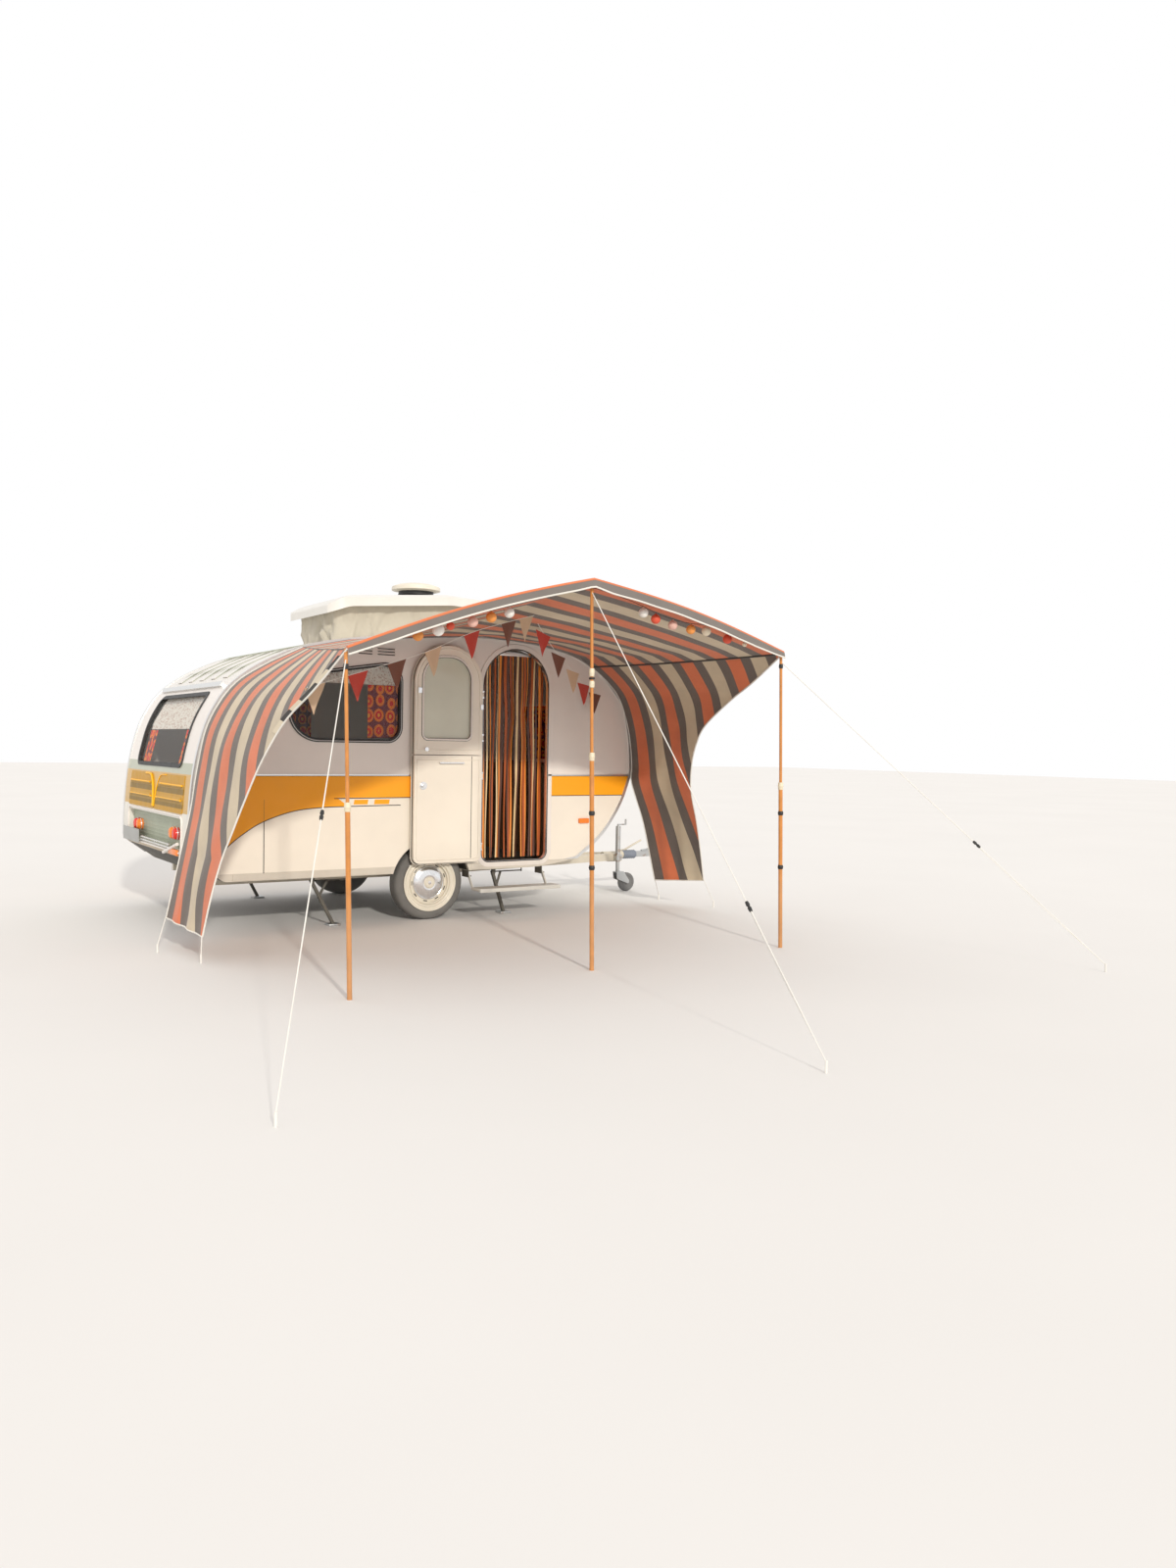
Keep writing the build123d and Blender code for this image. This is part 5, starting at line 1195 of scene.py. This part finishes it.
def wing_cloth_sheet(name, stations, bulge, node, canopy_end):
    """A wing between its inner and outer edge; canopy_end is 0 for the rear wing and 1 for the front one."""
    inner = curve_through([a for a, b in stations], 6)
    outer = curve_through([b for a, b in stations], 6)
    count = len(inner) - 1

    def surface(s, t):
        i = min(int(round(t * count)), count)
        a, b = inner[i], outer[i]
        point = a.lerp(b, s)
        belly = math.sin(math.pi * s) * math.sin(math.pi * min(1, t * 1.05))
        ripple = 0.007 * math.sin(s * 17 + t * 6) * math.sin(math.pi * s) * (0.4 + t)
        point.x += bulge * belly + ripple
        to_canopy = Vector(canopy_point(canopy_end, s)[0]) - inner[0].lerp(outer[0], s)
        point += to_canopy * max(0.0, 1 - t * 6)
        spread = between(REAR_SPREAD, t) if canopy_end == 0 else 1.0
        return tuple(point), ((b - a).length * s * spread, t * 2.9)

    sheet = cloth_grid(name, surface, 48, count, wing_cloth)
    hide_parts(node)
    for edge, s in (("outer", 1), ("inner", 0)):
        run = [surface(s, k / count)[0] for k in range(count + 1)]
        tube(f"{name}_{edge}_piping", run, PIPING_R, piping_white)
    tube(f"{name}_hem", [surface(k / 24, 1)[0] for k in range(25)], 0.005, piping_white)
    return surface


rear_wing_at = wing_cloth_sheet(
    "awning_rear_wing_cloth", REAR_WING, -0.020, "awning_wing_rear", 0
)
wing_cloth_sheet("awning_front_wing_cloth", FRONT_WING, 0.010, "awning_wing_front", 1)

for end, s, drop, radius in (("front", 1, 0.004, 0.008), ("rear", 0, 0.003, 0.006)):
    seam = [canopy_point(s, k / 20)[0] for k in range(21)]
    tube(f"canopy_{end}_seam", [(x, y, z - drop) for x, y, z in seam], radius, seam_dark)


def valance_point(s, t):
    """Point of the valance: s along the canopy's edge, t down; it's narrower at the poles."""
    edge = Vector(canopy_point(s, 1)[0])
    deeper = 0.012 if s < 0.5 else 0.020
    drop = 0.033 + deeper * min(1.0, 12 * s, 12 * (1 - s), 12 * abs(s - 0.5) + 0.5)
    wave = 0.004 * math.sin(s * 60) * t
    return (edge.x, edge.y - 0.012 - 0.006 * t + wave, edge.z + 0.002 - drop * t), (s * 3.4, t * drop)


valance = cloth_grid("awning_valance", valance_point, 96, 5, valance_grey)
valance_edge = [valance_point(k / 96, 1)[0] for k in range(97)]
valance_cord = tube("valance_piping", valance_edge, PIPING_R, piping_white)


PATCH_WIDE, PATCH_LONG = 0.11, 0.52


def edge_patch(s, t):
    """Patched strip along the outer edge of the rear wing, on its outer side."""
    point = Vector(rear_wing_at(1 - 0.05 * s, 0.012 + 0.29 * t)[0])
    return (point.x - 0.004, point.y, point.z), (s * PATCH_WIDE, t * PATCH_LONG)


patch = cloth_grid("rear_wing_edge_patches", edge_patch, 3, 60, patch_cloth, thick=0.001)
rail_bead = [Vector(rear_wing_at(0, k / 40)[0]) + Vector((-0.004, -0.012, 0)) for k in range(41)]
tube("rear_wing_second_bead", rail_bead, 0.005, piping_white)

# Pole clamps and joints, guy sliders, and the guys' return cords down to their pegs

POLES = [((-1.627, -3.332), TIPS[0]), ((-0.037, -3.272), TIPS[1]), ((1.573, -3.212), TIPS[2])]
# Clamps of each pole: share of its height, radius, length, finish
CLAMPS = [
    [(0.948, 0.0135, 0.030, seal_rubber), (0.550, 0.0175, 0.050, clamp_plastic)],
    [
        (0.765, 0.0160, 0.048, clamp_plastic), (0.750, 0.0172, 0.012, seal_rubber),
        (0.735, 0.0160, 0.040, clamp_plastic), (0.550, 0.0175, 0.050, clamp_plastic),
        (0.405, 0.0175, 0.028, seal_rubber), (0.265, 0.0175, 0.028, seal_rubber),
    ],
    [
        (0.955, 0.0135, 0.030, seal_rubber), (0.550, 0.0175, 0.050, clamp_plastic),
        (0.458, 0.0175, 0.028, seal_rubber), (0.275, 0.0175, 0.028, seal_rubber),
    ],
]
for i, (((foot_x, foot_y), tip), clamps) in enumerate(zip(POLES, CLAMPS)):
    foot = Vector((foot_x, foot_y, 0))
    run = tip - foot
    for j, (share, radius, length, finish) in enumerate(clamps):
        half = length / 2
        lip = min(0.004, half * 0.4)
        profile = [
            (0.011, -half), (radius * 0.9, -half), (radius, -half + lip), (radius, -lip * 1.2),
            (radius * 1.1, -lip * 0.6), (radius * 1.1, lip * 0.6), (radius, lip * 1.2),
            (radius, half - lip), (radius * 0.9, half), (0.010, half),
        ]
        turned(f"pole_clamp_{i}_{j}", profile, foot + run * share, (0, 0, 0), finish, steps=28)

PEGS = [(-2.645, -5.148), (-0.432, -5.644), (2.787, -4.879)]
SLIDER_SHARES = (0.4375, 0.7425, 0.6225)
SLIDER = [
    (0.003, -0.03), (0.008, -0.028), (0.010, -0.01), (0.006, 0.0), (0.010, 0.01), (0.008, 0.028),
    (0.003, 0.03),
]
for i, (((foot_x, foot_y), tip), (peg_x, peg_y), share) in enumerate(zip(POLES, PEGS, SLIDER_SHARES)):
    start = Vector((foot_x, foot_y, 0)).lerp(tip, 0.97)
    end = Vector((peg_x, peg_y, 0.046))
    turn = (end - start).normalized().to_track_quat("Z", "Y").to_euler()
    place = start.lerp(end, share)
    turned(f"guy_slider_{i}", SLIDER, place, turn, seal_rubber, steps=16)
    top = place - Vector((0, 0, 0.009))
    middle = place.lerp(end, 0.5) - Vector((0, 0, 0.012))
    tube(f"guy_return_{i}", curve_through([top, middle, end], 8), 0.0015, white_cord)

# Step lip, and shoes of the corner steadies

bar("step_lip", (0.302, -1.2188, 0.2215), (1.033, -1.2150, 0.2505), grey_paint, "step", 0.0015)
STEADY_Y, SHOE_HALF = 0.880, 0.047
for end, foot_x in (("rear", -0.760), ("front", 0.697)):
    for side, side_name in SIDES:
        low = (foot_x - SHOE_HALF, side * STEADY_Y - SHOE_HALF, 0.0003)
        high = (foot_x + SHOE_HALF, side * STEADY_Y + SHOE_HALF, 0.0156)
        bar(f"steady_shoe_{end}_{side_name}", low, high, steel, f"steady_{end}_{side_name}", 0.003)

# Strip curtain in the doorway

random.seed(7)
strip_colours = {
    "orange": moulded("strip_orange_plastic", "strip_plastic", (0.85, 0.28, 0.04), 0.4, 90),
    "brown": moulded("strip_brown_plastic", "strip_plastic", (0.10, 0.032, 0.016), 0.4, 90),
    "cream": moulded("strip_cream_plastic", "strip_plastic", (0.85, 0.63, 0.34), 0.4, 90),
    "rust": moulded("strip_rust_plastic", "strip_plastic", (0.45, 0.10, 0.02), 0.4, 90),
}
ORDER = (
    "rust orange brown cream orange brown rust cream orange brown rust brown rust "
    "orange brown cream brown orange rust orange brown rust cream brown orange rust"
).split()
STRIP_TOP, STRIP_DROP, STRIP_Y = 2.098, 1.640, -0.907
STRIP_FIRST, STRIP_LAST, STRIP_STEP, STRIP_PARTS = 0.440, 1.024, 0.0230, 32
# Where the strips are drawn together, along x and down their length, and how wide that reaches
GATHER_X, GATHER_T, GATHER_WIDE = 0.80, 0.30, 0.10
strip_rows = {}
for i, colour in enumerate(ORDER):
    start = STRIP_FIRST + i * STRIP_STEP
    sway = 0.016 * math.sin(i * 1.9) + 0.010 * math.sin(i * 0.7)
    width = random.uniform(0.011, 0.025)
    depth = STRIP_Y + random.uniform(-0.005, 0.005)
    strip_rows.setdefault(colour, []).append((start, sway, width, depth, i))


def strip_middle(start, sway, i, t):
    """x of a strip's middle line; t runs from the rail down."""
    down = math.exp(-(((t - GATHER_T) / GATHER_WIDE) ** 2))
    pinch = down * 0.35 * math.exp(-(((start - GATHER_X) / GATHER_WIDE) ** 2))
    middle = start + sway * t**1.4 + 0.004 * math.sin(t * 9 + i)
    middle += (GATHER_X - middle) * pinch
    return min(max(middle, STRIP_FIRST), STRIP_LAST)


for colour, rows in strip_rows.items():
    made = bmesh.new()
    for start, sway, width, depth, i in rows:
        before = None
        for k in range(STRIP_PARTS + 1):
            t = k / STRIP_PARTS
            middle = strip_middle(start, sway, i, t)
            twist = 0.55 * math.sin(i * 2.1) + 0.5 * math.sin(t * 5 + i)
            dx, dy = math.cos(twist) * width / 2, math.sin(twist) * 0.0035
            z = STRIP_TOP - STRIP_DROP * t
            left = made.verts.new((middle - dx, depth - dy, z))
            pair = [left, made.verts.new((middle + dx, depth + dy, z))]
            if before:
                made.faces.new((before[0], before[1], pair[1], pair[0]))
            before = pair
    piece = filled(f"strips_{colour}", made)
    harden(piece, "SOLIDIFY", thickness=0.001, offset=0)
    settle(piece, f"strips_{colour}", strip_colours[colour], smooth=60)
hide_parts("strip_curtain")
RAIL_X0, RAIL_X1, BRACKET = 0.3955, 1.0695, 0.023
bar("strip_rail", (RAIL_X0, -0.9185, 2.0855), (RAIL_X1, -0.8955, 2.1195), trim_metal, round_off=0.005)
for x0 in (RAIL_X0, 1.0465):
    low, high = (x0, -0.9546, 2.0955), (x0 + BRACKET, -0.918, 2.1145)
    bar(f"strip_rail_bracket_{int(x0 * 1000)}", low, high, trim_metal, round_off=0.002)

# Window curtains

lace = Finish("lace_white_net", "curtain_fabric", (0.78, 0.74, 0.66), 0.9, place="UV")
cells = lace.node("ShaderNodeTexVoronoi")
cells.inputs["Scale"].default_value = 55
lace.link(lace.where, cells.inputs["Vector"])
holes = lace.ramp(cells.outputs["Distance"], [(0.30, (0.66, 0.50, 0.42)), (0.45, (0.92, 0.88, 0.80))])
lace.paint(holes)
weave(lace, 300, 0.0005)
lace = lace.material
print_cloth = Finish("curtain_retro_rings", "curtain_fabric", (0.70, 0.10, 0.03), 0.85, place="UV")
tiles = print_cloth.node("ShaderNodeTexVoronoi")
tiles.inputs["Scale"].default_value = 9
tiles.inputs["Randomness"].default_value = 0.25
print_cloth.link(print_cloth.where, tiles.inputs["Vector"])
RINGS = [
    (0.0, (1.0, 0.42, 0.04)), (0.16, (0.80, 0.03, 0.02)), (0.30, (1.0, 0.24, 0.02)),
    (0.46, (0.22, 0.03, 0.05)),
]
print_cloth.paint(print_cloth.ramp(tiles.outputs["Distance"], RINGS, True))
weave(print_cloth, 200, 0.0005)
print_cloth = print_cloth.material


# Depth of the curtains' folds, and cloth that a metre of gathered curtain takes up
CURTAIN_FOLD, CURTAIN_FULL = 0.004, 1.12


def drape(name, x0, x1, z0, z1, y, material, folds):
    """Gathered curtain hanging in a plane of constant y."""

    def surface(s, t):
        x = x0 + (x1 - x0) * s
        z = z1 + (z0 - z1) * t
        wave = CURTAIN_FOLD * math.sin(s * folds * math.tau) * (0.6 + 0.4 * t)
        return (x, y + wave, z), ((x1 - x0) * s * 1.3, (z1 - z0) * t)

    piece = cloth_grid(name, surface, max(24, folds * 8), 12, material, thick=0.0008)
    return piece


for side, side_name in SIDES:
    y = side * 0.9475
    first = drape(f"pelmet_{side_name}", -1.125, -0.265, 1.802, 1.985, y, lace, 18)
    drape(f"drape_front_{side_name}", -0.530, -0.265, 1.402, 1.800, y, print_cloth, 6)
    if side < 0:
        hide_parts("window_curtains")

# Inner faces of the rear and the front wall at the windows: height and x
REAR_INNER = [(1.18, -1.815), (1.5, -1.735), (1.735, -1.6)]
FRONT_INNER = [(1.20, 1.880), (1.43, 1.868), (1.72, 1.800)]
REAR_INSET, FRONT_INSET = 0.040, 0.062


def rear_drape(name, y0, y1, z0, z1, material, folds):
    """Gathered curtain along the slanting rear wall."""

    def surface(s, t):
        y = y0 + (y1 - y0) * s
        z = z1 + (z0 - z1) * t
        wave = CURTAIN_FOLD * math.sin(s * folds * math.tau)
        return (between(REAR_INNER, z) + REAR_INSET + wave, y, z), ((y1 - y0) * s * 1.3, (z1 - z0) * t)

    piece = cloth_grid(name, surface, max(24, folds * 8), 12, material, thick=0.0008)


rear_drape("rear_lace", -0.635, 0.635, 1.445, 1.72, lace, 26)
rear_drape("rear_drape_near", -0.635, -0.425, 1.18, 1.438, print_cloth, 5)
rear_drape("rear_drape_far", 0.425, 0.635, 1.18, 1.438, print_cloth, 5)


def front_curtain(s, t):
    """Point of the curtain behind the front window, s across and t down."""
    y, z = -0.60 + 1.20 * s, 1.74 - 0.50 * t
    x = between(FRONT_INNER, z) - FRONT_INSET + 0.005 * math.sin(s * 22 * math.tau)
    return (x, y, z), (1.56 * s, 0.50 * t)


curtain = cloth_grid("front_window_curtain", front_curtain, 176, 10, print_cloth, thick=0.0008)

# Seat cushions: x, y and z from and to

CUSHIONS = (
    (-1.715, -0.972, -0.945, -0.008, 0.7705, 0.878),
    (-1.715, -0.972, 0.008, 0.945, 0.7705, 0.878),
    (-0.286, 1.086, 0.412, 0.945, 0.7605, 0.858),
)
for i, (x0, x1, y0, y1, z0, z1) in enumerate(CUSHIONS):
    free()
    middle, size = ((x0 + x1) / 2, (y0 + y1) / 2, (z0 + z1) / 2), (x1 - x0, y1 - y0, z1 - z0)
    bpy.ops.mesh.primitive_cube_add(size=1, location=middle, scale=size)
    cushion = bpy.context.object
    bpy.ops.object.transform_apply(location=True, rotation=True, scale=True)
    bpy.ops.object.mode_set(mode="EDIT")
    bpy.ops.mesh.select_all(action="SELECT")
    bpy.ops.mesh.subdivide(number_cuts=9)
    bpy.ops.object.mode_set(mode="OBJECT")
    for vertex in cushion.data.vertices:
        u = (vertex.co.x - x0) / (x1 - x0) * 2 - 1
        v = (vertex.co.y - y0) / (y1 - y0) * 2 - 1
        w = (vertex.co.z - z0) / (z1 - z0)
        crown = (1 - u**4) * (1 - v**4)
        vertex.co.z = z0 + (z1 - z0) * w * (0.80 + 0.18 * crown)
        pull = 1 - 0.02 * (1 - abs(2 * w - 1)) - 0.012 * (1 - (u * v) ** 2)
        if abs(w - 0.5) < 0.49:
            vertex.co.x = middle[0] + (vertex.co.x - middle[0]) * pull
            vertex.co.y = middle[1] + (vertex.co.y - middle[1]) * pull
    harden(cushion, "BEVEL", width=0.012, segments=3, limit_method="ANGLE")
    cushion = settle(cushion, f"seat_pad_{i}", cushion_cloth, smooth=60)
    if i == 0:
        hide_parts("seat_cushions")

# Floor and light

free()
bpy.ops.mesh.primitive_plane_add(size=120)
floor = bpy.context.object
floor.name = "floor"
pale = Finish("floor_pale", "white_paint", (0.78, 0.78, 0.77), 0.9)
pale.paint(pale.ramp(pale.noise(0.4, 3), [(0.3, (0.77, 0.77, 0.76)), (0.7, (0.79, 0.79, 0.78))]))
floor.data.materials.append(pale.material)

# Surroundings: warm soft light, a white background where the camera looks past the floor, and a low sun

SKY_LIGHT, SKY_SEEN = 0.97, 1.0
TINT_LIGHT, TINT_SEEN = (1.0, 0.955, 0.925), (1.0, 1.0, 1.0)
world = bpy.data.worlds.new("studio")
bpy.context.scene.world = world
world.use_nodes = True
nodes, links = world.node_tree.nodes, world.node_tree.links
sky = nodes["Background"]
rays = nodes.new("ShaderNodeLightPath").outputs
seen = rays["Is Camera Ray"]
for ray in ("Is Glossy Ray", "Is Transmission Ray"):
    either = nodes.new("ShaderNodeMath")
    either.operation = "MAXIMUM"
    links.new(seen, either.inputs[0])
    links.new(rays[ray], either.inputs[1])
    seen = either.outputs["Value"]
hue = nodes.new("ShaderNodeMix")
hue.data_type = "RGBA"
tones = [socket for socket in hue.inputs if socket.type == "RGBA"]
for socket, tone in zip(tones, (TINT_LIGHT, TINT_SEEN)):
    socket.default_value = (*tone, 1)
links.new(seen, hue.inputs["Factor"])
links.new([socket for socket in hue.outputs if socket.type == "RGBA"][0], sky.inputs["Color"])
level = nodes.new("ShaderNodeMath")
level.operation = "MULTIPLY_ADD"
level.inputs[1].default_value = SKY_SEEN - SKY_LIGHT
level.inputs[2].default_value = SKY_LIGHT
links.new(seen, level.inputs[0])
links.new(level.outputs["Value"], sky.inputs["Strength"])
SUN_WAY, SUN_LEVEL, SUN_WIDTH = Vector((0.1867, 0.902, -0.3893)), 1.8, 2.5
bpy.ops.object.light_add(type="SUN")
sun = bpy.context.object
sun.rotation_euler = SUN_WAY.to_track_quat("-Z", "Y").to_euler()
sun.data.energy = SUN_LEVEL
sun.data.angle = math.radians(SUN_WIDTH)
sun.data.color = (1.0, 0.94, 0.85)
bpy.context.scene.view_settings.view_transform = "Standard"
